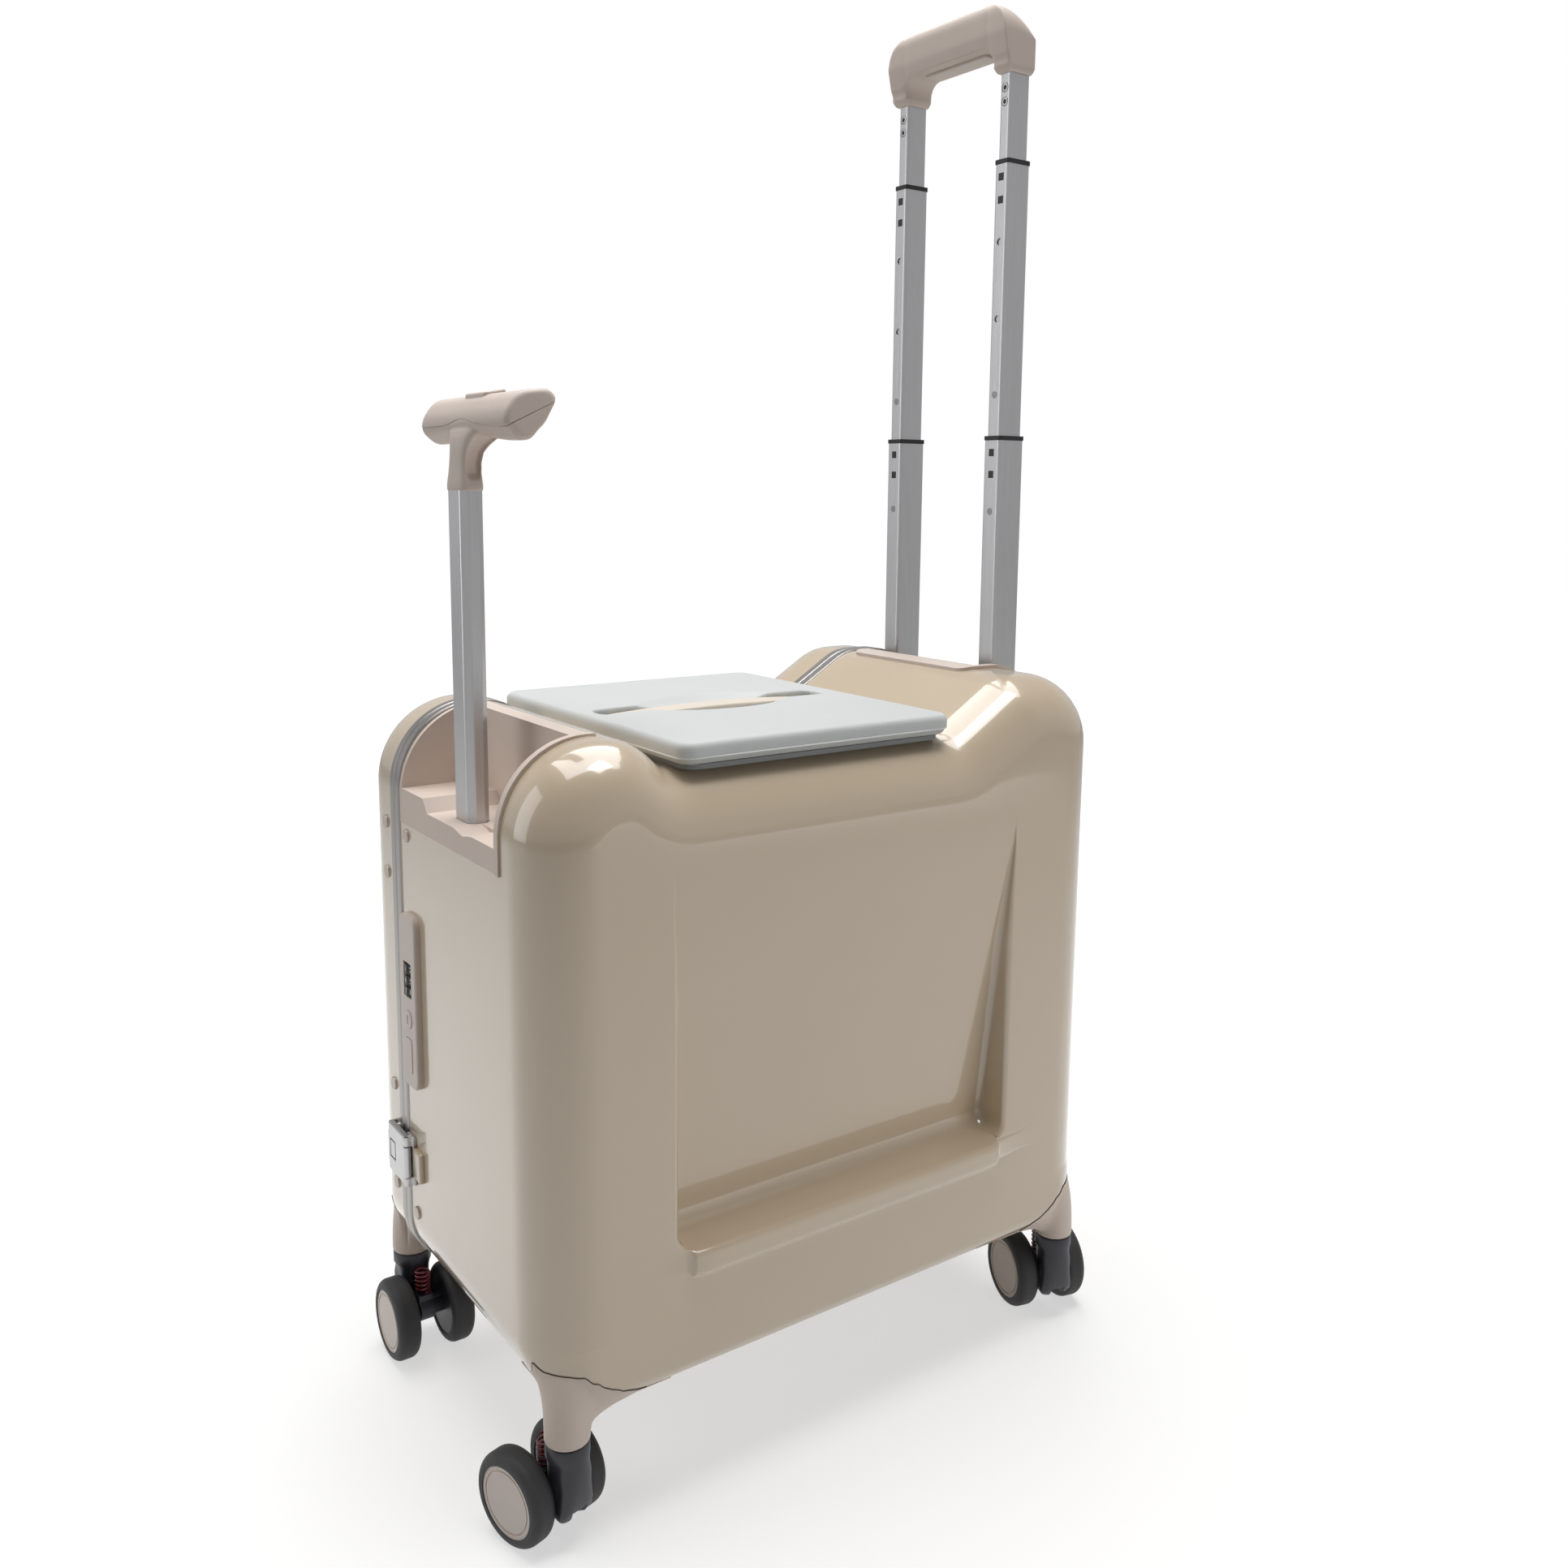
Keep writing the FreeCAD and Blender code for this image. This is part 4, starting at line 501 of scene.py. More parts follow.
def side_row(z, out):
    """One row of the side's grid: points across the side at one height of its section."""
    depth = max(0.0, -out)
    share = 1 - min(1.0, max(0.0, (z - RIM_Z) / RIM_CORNER))
    corner = RIM_CORNER * (1 - math.sqrt(1 - share * share))
    scale = min(1.0, max(LEAST_WALL, depth / (RIM_R + FOOT_R)))
    low, high = RECESS_X[0] + corner, RECESS_X[1] - corner
    inner = (low + WALL_STEPS[-1] * scale, high - WALL_STEPS[-1] * scale)
    across = [(GRID_X[0], 0.0), (low - GRID_MARGIN, 0.0)]
    across += [(low + step * scale, wall_depth(step, depth)) for step in WALL_STEPS]
    across += [(mix(inner[0], inner[1], k / FLOOR_COLUMNS), depth)
               for k in range(1, FLOOR_COLUMNS)]
    across += [(high - step * scale, wall_depth(step, depth)) for step in reversed(WALL_STEPS)]
    across += [(high + GRID_MARGIN, 0.0), (GRID_X[1], 0.0)]
    row = []
    for x, deep in across:
        along = min(1.0, max(0.0, abs(x) - BAR_X) / BAR_END)
        round_end = math.sqrt(1 - along ** 2)
        height = z
        if out > 0 and z < BAR_Z:
            height = mix(BAR_Z, z, mix(BAR_FLAT, 1.0, round_end))
        row.append((x, SIDE_Y + (out * round_end if out > 0 else -deep), height))
    return row


def half_shell(lines, cut):
    """One half's outer skin, open at its edge, with y towards its own side."""
    samples = outline()
    for z in (WELL_Z, *LOCK_Z):
        samples = broken(samples, 1, z, lambda p: p.x > FRONT_FACE)
    for x in (WELL_X, *BEZEL_X):
        samples = broken(samples, 0, x, lambda p: p.y > TOP_FACE)
    bm = bmesh.new()
    rows = []
    for p, n, r in samples:
        row = [bm.verts.new((p.x, y, p.y)) for y in lines]
        for a in quarter(SIDE_STEPS):
            q = p - n * r * (1 - math.cos(a))
            row.append(bm.verts.new((q.x, SIDE_Y - r + r * math.sin(a), q.y)))
        rows.append(row)
    for a, b in zip(rows, rows[1:] + rows[:1]):
        for j in range(len(a) - 1):
            middle = (a[j].co + b[j].co + a[j + 1].co + b[j + 1].co) / 4
            if not cut(middle):
                bm.faces.new((a[j], a[j + 1], b[j + 1], b[j]))
    loose = [v for v in bm.verts if not v.link_faces]
    rim = [row[-1] for row in rows]
    rows = [[bm.verts.new(point) for point in side_row(z, out)] for z, out in side_profile()]
    grid = list(zip(*rows))
    for a, b in zip(grid, grid[1:]):
        for j in range(len(a) - 1):
            bm.faces.new((a[j], a[j + 1], b[j + 1], b[j]))
    border = [column[0] for column in grid] + list(grid[-1][1:])
    border += [column[-1] for column in reversed(grid[:-1])] + list(reversed(grid[0][1:-1]))
    edges = [bm.edges.get(ends) for loop in (rim, border)
             for ends in zip(loop, loop[1:] + loop[:1])]
    bmesh.ops.triangle_fill(bm, use_beauty=True, use_dissolve=False, edges=edges,
                            normal=(0, 1, 0))
    bmesh.ops.delete(bm, geom=loose, context="VERTS")
    bmesh.ops.recalc_face_normals(bm, faces=bm.faces)
    probe = max(bm.faces, key=lambda f: f.calc_center_median().y)
    if probe.normal.y < 0:
        bmesh.ops.reverse_faces(bm, faces=bm.faces)
    return bm


def thicken(bm, wall):
    """Gives an open skin its wall, inwards, with the second material inside."""
    bm.normal_update()
    outer_faces = list(bm.faces)
    twin = {v: bm.verts.new(v.co - v.normal * wall) for v in list(bm.verts)}
    borders = [e for e in bm.edges if len(e.link_faces) == 1]
    for face in outer_faces:
        inner = bm.faces.new([twin[v] for v in reversed(face.verts)])
        inner.material_index = 1
    for edge in borders:
        loop = edge.link_loops[0]
        a, b = loop.vert, loop.link_loop_next.vert
        bm.faces.new((b, a, twin[a], twin[b]))
    return bm


def main_cut(p):
    """The main half's openings: the handle well, the trolley well and the lock."""
    well = p.x > WELL_X and p.z > WELL_Z and p.y < WELL_Y
    bezel = p.z > TOP_FACE and BEZEL_X[0] < p.x < BEZEL_X[1] and p.y < BEZEL_Y
    lock = (p.x > FRONT - 1 and LOCK_Z[0] < p.z < LOCK_Z[1]
            and LOCK_Y[0] < p.y < LOCK_Y[1])
    return well or bezel or lock


def no_cut(p):
    """A half without openings."""
    return False


def add_shell(name, lines, cut, mirror, body, node):
    """One half of the shell as a piece, on its own side of the case."""
    bm = thicken(half_shell(lines, cut), WALL)
    if mirror:
        bmesh.ops.scale(bm, vec=(1, -1, 1), verts=bm.verts)
        bmesh.ops.reverse_faces(bm, faces=bm.faces)
    obj = formed(name, bm, SHELL_SHARP, [shell, lining], body, "shell_gloss", node)
    even_normals(obj, SHELL_NORMAL_WEIGHT)


add_shell("shell_main", MAIN_LINES, main_cut, False, "case", "main_shell")
add_shell("shell_door", DOOR_LINES, no_cut, True, "door", "door_shell")


# The legs: tapered posts that wrap the shell's lower corners up to a wavy seam.
# The seam is (direction round the leg in degrees, height).

LEG_X, LEG_Y, LEG_Z, LEG_R = 193.0, 120.0, 63.0, 13.0
LEG_BASE = Vector((LEG_X, LEG_Y, LEG_Z))
LEG_COLUMNS, LEG_STEPS, LEG_SHARP = 120, 22, 45
SEAM = [(-100, 78), (-80, 80), (-62, 86), (-49, 94), (-38, 103), (-29.5, 109.6), (-23, 107.6),
        (-14, 106), (15, 105.6), (75, 105.1), (110, 104), (131, 98.5), (141, 94.4),
        (148, 90.9), (158, 86.5), (165, 83.0), (175, 79)]
SEAM_LINE, SEAM_R, SEAM_SIDES, SEAM_STEEP = (-42, 168), 0.42, 6, 4
UNDER_REACH, UNDER_MORE, UNDER_WAY = 30, 8, 178
LEG_LIFT, LEG_SINK, LINE_LIFT, LEG_CLEAR = 0.5, 1.0, 0.15, 3
LEG_EDGE, LEG_EDGE_MID, LEG_RISE, LEG_FLARE, LEG_DROP = 1.2, 0.3, 0.5, 0.5, 0.12
RAY_OUT, RAY_LONG, RAY_LOW, RAY_UP, LEAST_OUT = 120, 160, 20, 120, 2


def seam_height(angle):
    """The seam's height in a direction round the leg; none where the leg meets the underside."""
    for (a, low), (b, high) in zip(SEAM, SEAM[1:]):
        if a <= angle <= b:
            share = (angle - a) / (b - a)
            return mix(low, high, smoothstep(share) if abs(high - low) > SEAM_STEEP else share)
    return None


def leg_top(tree, angle, d):
    """Where one column of the leg ends on the shell: at the seam or under the case."""
    height = seam_height(angle)
    if height is not None:
        found = tree.ray_cast(Vector((LEG_X, LEG_Y, height)) + d * RAY_OUT, -d, RAY_LONG)[0]
        if found is not None and (found - LEG_BASE).xy.dot(d.xy) >= LEAST_OUT:
            return found
    reach = UNDER_REACH + UNDER_MORE * max(0.0, math.cos(math.radians(angle - UNDER_WAY)))
    return tree.ray_cast(Vector((LEG_X, LEG_Y, RAY_LOW)) + d * reach, UP, RAY_UP)[0]


def leg_parts(tree):
    """One leg's skin and its seam line, at the front left corner."""
    columns = []
    line = []
    for i in range(LEG_COLUMNS):
        angle = SEAM[0][0] + 360 * i / LEG_COLUMNS
        d = Vector((math.cos(math.radians(angle)), math.sin(math.radians(angle)), 0))
        found = leg_top(tree, angle, d)
        start = LEG_BASE + d * LEG_R
        span = found - start
        out, rise = span.dot(d), span.z
        zero = start + Vector((0, 0, LEG_EDGE))
        one = start + Vector((0, 0, LEG_RISE * rise))
        two = found - d * out * LEG_FLARE - Vector((0, 0, LEG_DROP * rise))
        column = [LEG_BASE + d * (LEG_R - LEG_EDGE),
                  LEG_BASE + d * (LEG_R - LEG_EDGE_MID) + Vector((0, 0, LEG_EDGE_MID))]
        for k in range(LEG_STEPS + 1):
            t = k / LEG_STEPS
            p = ((1 - t) ** 3 * zero + 3 * t * (1 - t) ** 2 * one
                 + 3 * t * t * (1 - t) * two + t ** 3 * found)
            spot, facing, _, _ = tree.find_nearest(p)
            if (p - spot).dot(facing) < LEG_LIFT:
                p = spot + facing * LEG_LIFT
            column.append(p)
        spot, facing, _, _ = tree.find_nearest(found)
        column.append(spot - facing * LEG_SINK)
        columns.append(column)
        if SEAM_LINE[0] <= angle <= SEAM_LINE[1]:
            line.append(spot + facing * LINE_LIFT)
    bm = loft([list(ring) for ring in zip(*columns)], False)
    bm.faces.new(list(bm.verts)[:LEG_COLUMNS])
    free = [v for v in bm.verts if LEG_Z + LEG_CLEAR < v.co.z
            and (v.co - tree.find_nearest(v.co)[0]).length > LEG_CLEAR]
    bmesh.ops.smooth_vert(bm, verts=free, factor=SMOOTH_SHARE,
                          use_axis_x=True, use_axis_y=True, use_axis_z=True)
    bmesh.ops.recalc_face_normals(bm, faces=bm.faces)
    return bm, line


whole_half = half_shell(WHOLE_LINES, no_cut)
leg, leg_line = leg_parts(BVHTree.FromBMesh(whole_half))
whole_half.free()
for name, y, body, node in (("main", 1, "case", "main_legs"), ("door", -1, "door", "door_legs")):
    pair = joined([mirrored(leg, 1, y), mirrored(leg, -1, y)])
    formed(f"legs_{name}", pair, LEG_SHARP, [trim_leg], body, "trim_matte", node)
    # A thin dark bead along the seam: painted shadow where the leg meets the shell.
    bead = tube_along(leg_line, SEAM_R, False, SEAM_SIDES)
    pair = joined([mirrored(bead, 1, y), mirrored(bead, -1, y)])
    bead.free()
    formed(f"leg_seam_shadows_{name}", pair, ALL_SMOOTH, [painted_seam_shadow], body, "black_plastic")
leg.free()


# The small boss beside the latch

BOSS_MIDDLE, BOSS_SIZE, BOSS_ROUND = (213.2, -45.9, 159.5), (4, 13, 20), 1.4
boss = box(BOSS_MIDDLE, BOSS_SIZE)
bmesh.ops.bevel(boss, geom=boss.edges[:], offset=BOSS_ROUND, segments=3, affect="EDGES",
                profile=0.5)
formed("latch_boss", boss, SHARP_ANGLE, [shell], "case", "shell_gloss")


# The seat: a foam pad in a smooth skin, crowned, with its seam line

SEAT_X, SEAT_Y, SEAT_R = (-83.0, 117.5), 121.0, 10.8
SEAT_MIDDLE, SEAT_HALF = (SEAT_X[0] + SEAT_X[1]) / 2, (SEAT_X[1] - SEAT_X[0]) / 2
CROWN, CROWN_DROP, CROWN_Z, CROWN_SPAN = 1.1, 0.5, 440, 8
PULL, PULL_Y, PULL_SPAN = 0.9, 100, 20
UNDERCUT, UNDERCUT_SPAN, SEAT_RIM = 0.8, 0.8, 8
PIPING_Z, PIPING_R, PIPING_IN = 440.4, 0.45, (0.1, 0.9)
PAD_VOXEL, PAD_ROUNDS = 1.4, 5


def seat_crown(x, y):
    """How far the pad's top is raised at a place."""
    u, v = abs(x - SEAT_MIDDLE) / SEAT_HALF, abs(y) / SEAT_Y
    return CROWN * max(0.0, 1 - u ** 4) * max(0.0, 1 - v ** 4) - CROWN_DROP


pad = remeshed(copy_of("seat_pad"), PAD_VOXEL, PAD_ROUNDS)
for vertex in pad.vertices:
    x, y, z = vertex.co / MM
    vertex.co.z += seat_crown(x, y) * smoothstep((z - CROWN_Z) / CROWN_SPAN) * MM
    u = (x - SEAT_MIDDLE) / SEAT_HALF
    pull = PULL * (1 - min(1.0, abs(u)) ** 6) * smoothstep((abs(y) - PULL_Y) / PULL_SPAN)
    low = UNDERCUT * smoothstep((PIPING_Z - z) / UNDERCUT_SPAN)
    if abs(y) > PULL_Y:
        vertex.co.y -= math.copysign(pull + low, y) * MM
    if x > SEAT_X[1] - SEAT_RIM or x < SEAT_X[0] + SEAT_RIM:
        vertex.co.x -= math.copysign(low, u) * MM
pad_piece = piece("seat_cushion", pad, [skin, skin_low], "case", "seat_skin", "seat_pad")
for polygon in pad.polygons:
    x, y, z = polygon.center / MM
    rim = min(x - SEAT_X[0], SEAT_X[1] - x, SEAT_Y - abs(y))
    polygon.material_index = 1 if z < PIPING_Z and rim < SEAT_RIM else 0

seam = [Vector((p.x, p.y, PIPING_Z)) for p in rounded_rectangle(
    SEAT_X[0] + PIPING_IN[0], SEAT_X[1] - PIPING_IN[0],
    -SEAT_Y + PIPING_IN[1], SEAT_Y - PIPING_IN[1], SEAT_R)]
formed("seat_piping", tube_along(seam, PIPING_R), ALL_SMOOTH, [piping], "case", "seat_skin")


# The carry handle in the seat's slot, bowed up at its ends

HANDLE_MIDDLE, HANDLE_HALF, HANDLE_TOP = 21.5, 79.5, 436.5
HANDLE_LIFT, HANDLE_BOW, HANDLE_SHARP, HANDLE_ROUND = 1.0, 3.0, 30, 1.4
bar = copy_of("carry_handle")
for v in bar.verts:
    if v.co.z > HANDLE_TOP:
        along = min(1.0, abs(v.co.x - HANDLE_MIDDLE) / HANDLE_HALF)
        v.co.z += HANDLE_LIFT + HANDLE_BOW * along ** 2
bar_piece = formed("carry_handle_bar", bar, HANDLE_SHARP, [cream],
                   "carry_handle", "trim_matte", "carry_handle")
soft_edges(bar_piece, HANDLE_ROUND, segments=3)


# The T handle: rod, neck, and a grip in two halves with a wavy joint

GRIP_X, GRIP_Z, GRIP_DEPTH, GRIP_HIGH, GRIP_Y = 181.0, 628.4, 31.0, 26.0, (-51.5, 70.5)
ROD_X, ROD_Y = 194.5, 9.5
SECTION = [(-0.5, 0.31), (-0.33, 0.5), (0.22, 0.42), (0.46, 0.02), (0.5, -0.27), (0.12, -0.5),
           (-0.22, -0.3)]
SECTION_SCALE, SECTION_ROUND, SECTION_STEPS = 1.05, 0.49, 8
END_R, END_STEPS, GRIP_STEP, HALF_POINTS, CHORD_STEPS = 3.6, 8, 2.5, 34, 7
JOINT_FRONT, JOINT_REAR, JOINT_GAP = -0.2, 0.28, 0.1
HUMP, HUMP_SPAN, DIP, DIP_Y, DIP_SPAN = 0.13, 15, -0.1, 30, 30
ARCH, ARCH_SPAN, ARCH_DROP = 4.5, 27, 2.6
# The neck's rows are (height, shift along x, half depth, half width).
NECK = [(586.2, 0.0, 7.2, 12.2), (586.8, 0.0, 7.6, 12.6), (589.0, 0.0, 7.7, 12.6),
        (592.0, 0.0, 7.5, 12.2), (596.0, -0.2, 7.2, 11.4), (602.0, -0.6, 7.1, 10.8),
        (608.0, -1.6, 7.6, 11.2), (612.0, -3.4, 8.9, 12.8), (616.0, -6.0, 10.7, 15.6),
        (619.5, -9.0, 12.4, 19.5), (623.0, -12.0, 13.4, 24.5), (627.0, -13.5, 12.0, 26.0)]
NECK_SIDES, NECK_POWER, NECK_LEAST = 72, 0.5, 1.0
SCOOP, SCOOP_SHIFT, SCOOP_SPAN, SCOOP_LOW, SCOOP_HIGH = 6.2, 0.2, 0.62, (591, 6), (627, 8)
T_VOXEL, T_ROUNDS, T_SHARP, T_ROUND = 0.7, 3, 50, 0.5
BUTTON_TOP, BUTTON_DROP, BUTTON_SLOPE, BUTTON_X, BUTTON_LONG = 641, 1.6, 2.6, 174, 14
BUTTON_SHARP, BUTTON_ROUND = 30, 0.4
ROD_CUT, ROD_TOP, ROD_SHARP, ROD_EDGE, ROD_ROUND = 590, 587.6, 20, 25, 0.5


def grip_section():
    """The grip's rounded section as a dense ring round its middle."""
    points = [Vector((a * GRIP_DEPTH, b * GRIP_HIGH)) * SECTION_SCALE for a, b in SECTION]
    ring = []
    count = len(points)
    for i, p in enumerate(points):
        a, b = points[i - 1], points[(i + 1) % count]
        reach = SECTION_ROUND * min((a - p).length, (b - p).length)
        start, end = p + (a - p).normalized() * reach, p + (b - p).normalized() * reach
        for k in range(SECTION_STEPS + 1):
            t = k / SECTION_STEPS
            ring.append((1 - t) ** 2 * start + 2 * t * (1 - t) * p + t * t * end)
    area = sum(a.x * b.y - b.x * a.y for a, b in zip(ring, ring[1:] + ring[:1]))
    if area < 0:
        ring.reverse()
    return ring


def crossing(ring, level, front):
    """Where the section passes a height at its front or rear: the ring's index and the point."""
    found = None
    for i, (a, b) in enumerate(zip(ring, ring[1:] + ring[:1])):
        if (a.y - level) * (b.y - level) <= 0 and a.y != b.y:
            p = a.lerp(b, (level - a.y) / (b.y - a.y))
            if found is None or (p.x > found[1].x) == front:
                found = (i, p)
    return found


def run(ring, a, b, count):
    """Evenly spaced points along the ring from crossing a on to crossing b."""
    path = [a[1]]
    i = a[0]
    while i != b[0]:
        i = (i + 1) % len(ring)
        path.append(ring[i])
    path.append(b[1])
    lengths = [0.0]
    for p, q in zip(path, path[1:]):
        lengths.append(lengths[-1] + (q - p).length)
    result = []
    k = 0
    for n in range(count):
        want = lengths[-1] * n / (count - 1)
        while k < len(path) - 2 and lengths[k + 1] < want:
            k += 1
        span = lengths[k + 1] - lengths[k]
        share = (want - lengths[k]) / span if span else 0.0
        result.append(path[k].lerp(path[k + 1], share))
    return result


def grip_places():
    """Places along the grip with the section's inset there, which rounds both ends."""
    ends = [(END_R * (1 - math.sin(a)), END_R * (1 - math.cos(a))) for a in quarter(END_STEPS)]
    straight = stations([(GRIP_Y[0] + END_R, GRIP_Y[1] - END_R, GRIP_STEP)])[1:-1]
    return ([(GRIP_Y[0] + along, inset) for along, inset in reversed(ends)]
            + [(y, 0.0) for y in straight]
            + [(GRIP_Y[1] - along, inset) for along, inset in ends])


def grip_half(upper):
    """One half of the grip: the section's part above or below the joint, with rounded ends."""
    section = grip_section()
    rings = []
    for y, inset in grip_places():
        scale = Vector((1 - inset / (GRIP_DEPTH / 2), 1 - inset / (GRIP_HIGH / 2)))
        ring = [Vector((p.x * scale.x, p.y * scale.y)) for p in section]
        high = GRIP_HIGH * scale.y
        hump = HUMP * bell((y - ROD_Y) / HUMP_SPAN)
        dip = DIP * smoothstep((y - DIP_Y) / DIP_SPAN)
        joint = high * (JOINT_FRONT + hump + dip) + JOINT_GAP
        front = crossing(ring, joint, True)
        rear = crossing(ring, high * JOINT_REAR + JOINT_GAP, False)
        if upper:
            points = run(ring, front, rear, HALF_POINTS)
        else:
            points = run(ring, rear, front, HALF_POINTS)
            arch = ARCH * bell((y - ROD_Y) / ARCH_SPAN) - ARCH_DROP
            top = joint - 1
            floor_z = min(p.y for p in points)
            points = [Vector((p.x, p.y + arch * smoothstep((top - p.y) / (top - floor_z))))
                      for p in points]
        chord = [points[-1].lerp(points[0], k / CHORD_STEPS) for k in range(1, CHORD_STEPS)]
        rings.append([(GRIP_X + p.x, y, GRIP_Z + p.y) for p in points + chord])
    return loft(rings)


def neck():
    """The neck under the grip: a collar over the rod, a scooped waist and a spread to the grip."""
    rings = []
    for z, shift, deep, wide in NECK:
        ring = []
        fade = smoothstep((z - SCOOP_LOW[0]) / SCOOP_LOW[1])
        fade_top = smoothstep((SCOOP_HIGH[0] - z) / SCOOP_HIGH[1])
        for a in turns(NECK_SIDES):
            c, s = math.cos(a), math.sin(a)
            across = signed_power(c, NECK_POWER)
            scoop = SCOOP * math.exp(-((across + SCOOP_SHIFT) / SCOOP_SPAN) ** 8) * fade * fade_top
            side = max(NECK_LEAST, wide * abs(s) ** NECK_POWER - scoop)
            ring.append((ROD_X + shift + deep * across, ROD_Y + math.copysign(side, s), z))
        rings.append(ring)
    return loft(rings)


lower_half = remeshed(joined([grip_half(False), neck()]), T_VOXEL, T_ROUNDS)
piece("t_handle_lower", lower_half, [trim], "t_handle", "trim_matte", "t_grip_bottom")
upper_piece = formed("t_handle_upper", grip_half(True), T_SHARP, [trim],
                     "t_handle", "trim_matte", "t_grip_top")
soft_edges(upper_piece, T_ROUND, T_SHARP)
button = copy_of("t_button")
for v in button.verts:
    if v.co.z > BUTTON_TOP:
        v.co.z -= BUTTON_DROP + BUTTON_SLOPE * (v.co.x - BUTTON_X) / BUTTON_LONG
button_piece = formed("t_button_wedge", button, BUTTON_SHARP, [trim_fine],
                      "t_button", "trim_matte", "t_button")
soft_edges(button_piece, BUTTON_ROUND)
rod = copy_of("t_rod")
for v in rod.verts:
    if v.co.z > ROD_CUT:
        v.co.z = ROD_TOP
rod_piece = formed("t_handle_rod", rod, ROD_SHARP, [tube],
                   "t_handle", "tube_aluminium", "t_rod")
soft_edges(rod_piece, ROD_ROUND, ROD_EDGE)


# The trolley handle: the loop's legs taper, its top rounds over to the rear, and rivets hold it

TROLLEY_X, TROLLEY_Y, TROLLEY_MIDDLE = -186.0, (51.5, -53.5), -1.0
LOOP_VOXEL, LOOP_ROUNDS = 0.9, 12
TAPER, TAPER_TOP, TAPER_SPAN, TAPER_Z, TAPER_WIDE = 0.16, 870.5, 4.5, 872, 12
CREASE, CREASE_Y, CREASE_WIDE, CREASE_Z, CREASE_SPAN = 1.1, 42.5, 3.2, 866, 8
LOOP_X, LOOP_HALF, LOOP_SQUEEZE = -182, 11.5, 0.46
BACK_X, BACK_LONG, BACK_DROP, BACK_Z, BACK_SPAN = -172, 24.6, 17, 884, 24
SLOT_X, SLOT_Y, SLOT_TOP, SLOT_LIFT, SLOT_Z, SLOT_SPAN = 9, 33.2, 893, 3, 885, 4
RIVET_Z, RIVET_SIDES = (857.0, 848.0), 24
RIVET_SEAT = [(-176.95, 3.0), (-176.7, 3.0), (-176.7, 0.1)]
RIVET_RIM = [(-176.72, 1.5), (-176.72, 2.65), (-176.58, 2.5), (-176.55, 2.0), (-176.58, 1.6),
             (-176.71, 1.5)]

grip = remeshed(copy_of("trolley_grip"), LOOP_VOXEL, LOOP_ROUNDS)
for vertex in grip.vertices:
    x, y, z = vertex.co / MM
    middle = min(TROLLEY_Y, key=lambda side: abs(side - y))
    if z < TAPER_Z and abs(y - middle) < TAPER_WIDE:
        taper = 1 - TAPER * smoothstep((TAPER_TOP - z) / TAPER_SPAN)
        vertex.co.x = mix(TROLLEY_X, x, taper) * MM
        vertex.co.y = mix(middle, y, taper) * MM
    crease = (CREASE * bell((abs(y - TROLLEY_MIDDLE) - CREASE_Y) / CREASE_WIDE)
              * smoothstep((z - CREASE_Z) / CREASE_SPAN)
              * smoothstep((x - TROLLEY_X) / CREASE_SPAN))
    vertex.co.x -= crease * MM
    off = vertex.co.x / MM - LOOP_X
    if abs(off) > LOOP_HALF:
        kept = LOOP_HALF + LOOP_SQUEEZE * (abs(off) - LOOP_HALF)
        vertex.co.x = (math.copysign(kept, off) + LOOP_X) * MM
    back = min(1.0, max(0.0, (BACK_X - vertex.co.x / MM) / BACK_LONG))
    if abs(x - TROLLEY_X) < SLOT_X and abs(y - TROLLEY_MIDDLE) < SLOT_Y and z < SLOT_TOP:
        vertex.co.z += SLOT_LIFT * smoothstep((z - SLOT_Z) / SLOT_SPAN) * MM
    else:
        over = 1 - math.sqrt(1 - back * back)
        vertex.co.z -= BACK_DROP * over * smoothstep((z - BACK_Z) / BACK_SPAN) * MM
piece("trolley_handle", grip, [trim], "trolley_top", "trim_matte", "trolley_grip")


def discs(profile):
    """Round forms on the top tubes' rivets, each turned from a profile of (x, radius)."""
    parts = []
    for side in TROLLEY_Y:
        for z in RIVET_Z:
            parts.append(loft([[(x, side + r * math.cos(a), z + r * math.sin(a))
                                for a in turns(RIVET_SIDES)] for x, r in profile]))
    return joined(parts)


formed("rivet_seats", discs(RIVET_SEAT), SHARP_ANGLE, [black], "trolley_top", "black_plastic")
formed("rivet_rims", discs(RIVET_RIM), SHARP_ANGLE, [latch_metal], "trolley_top", "rivet_metal")


# CAD nodes shown in their own form: material, edge rounding and names

DRESSED = [
    (tray, 0.5, ["seat_base"]),
    (trim_fine, 0.6, ["trolley_trigger"]),
    (tube, 0.15, ["lower_tubes", "mid_tubes", "top_tubes"]),
    (tube, 0.1, ["top_rivets"]),
    (black, 0.3, ["lower_collars", "mid_collars", "dial_1", "dial_2", "dial_3"]),
    (drawn, 0.0, ["lower_pins", "mid_pins"]),
    (drawn, 0.2, ["guide_tubes"]),
    (trim_leg, 0.8, ["front_well"]),
    (trim, 0.8, ["trolley_bezel"]),
    (frame_metal, 0.25, ["main_frame", "door_frame"]),
    (frame_metal, 0.3, ["hinge_main", "hinge_door"]),
    (rivet, 0.0, ["main_rivets", "door_rivets"]),
    (trim_fine, 0.4, ["lock_housing", "lock_button"]),
    (trim_fine, 0.3, ["key_cylinder"]),
    (latch_metal, 0.8, ["latch_base", "latch_lever", "latch_hook"]),
]
for material, bevel, names in DRESSED:
    for name in names:
        dress(name, material, bevel)


# The digits on the dials

DIAL_X, DIAL_Y, DIAL_Z, DIAL_STEP, DIAL_R = 209.0, -49.0, 283.0, 7.2, 8.0
DIGIT_SIZE, DIGIT_THICK, DIGIT_SINK, DIGIT_TURN = 4.6, 0.12, 0.02, 36


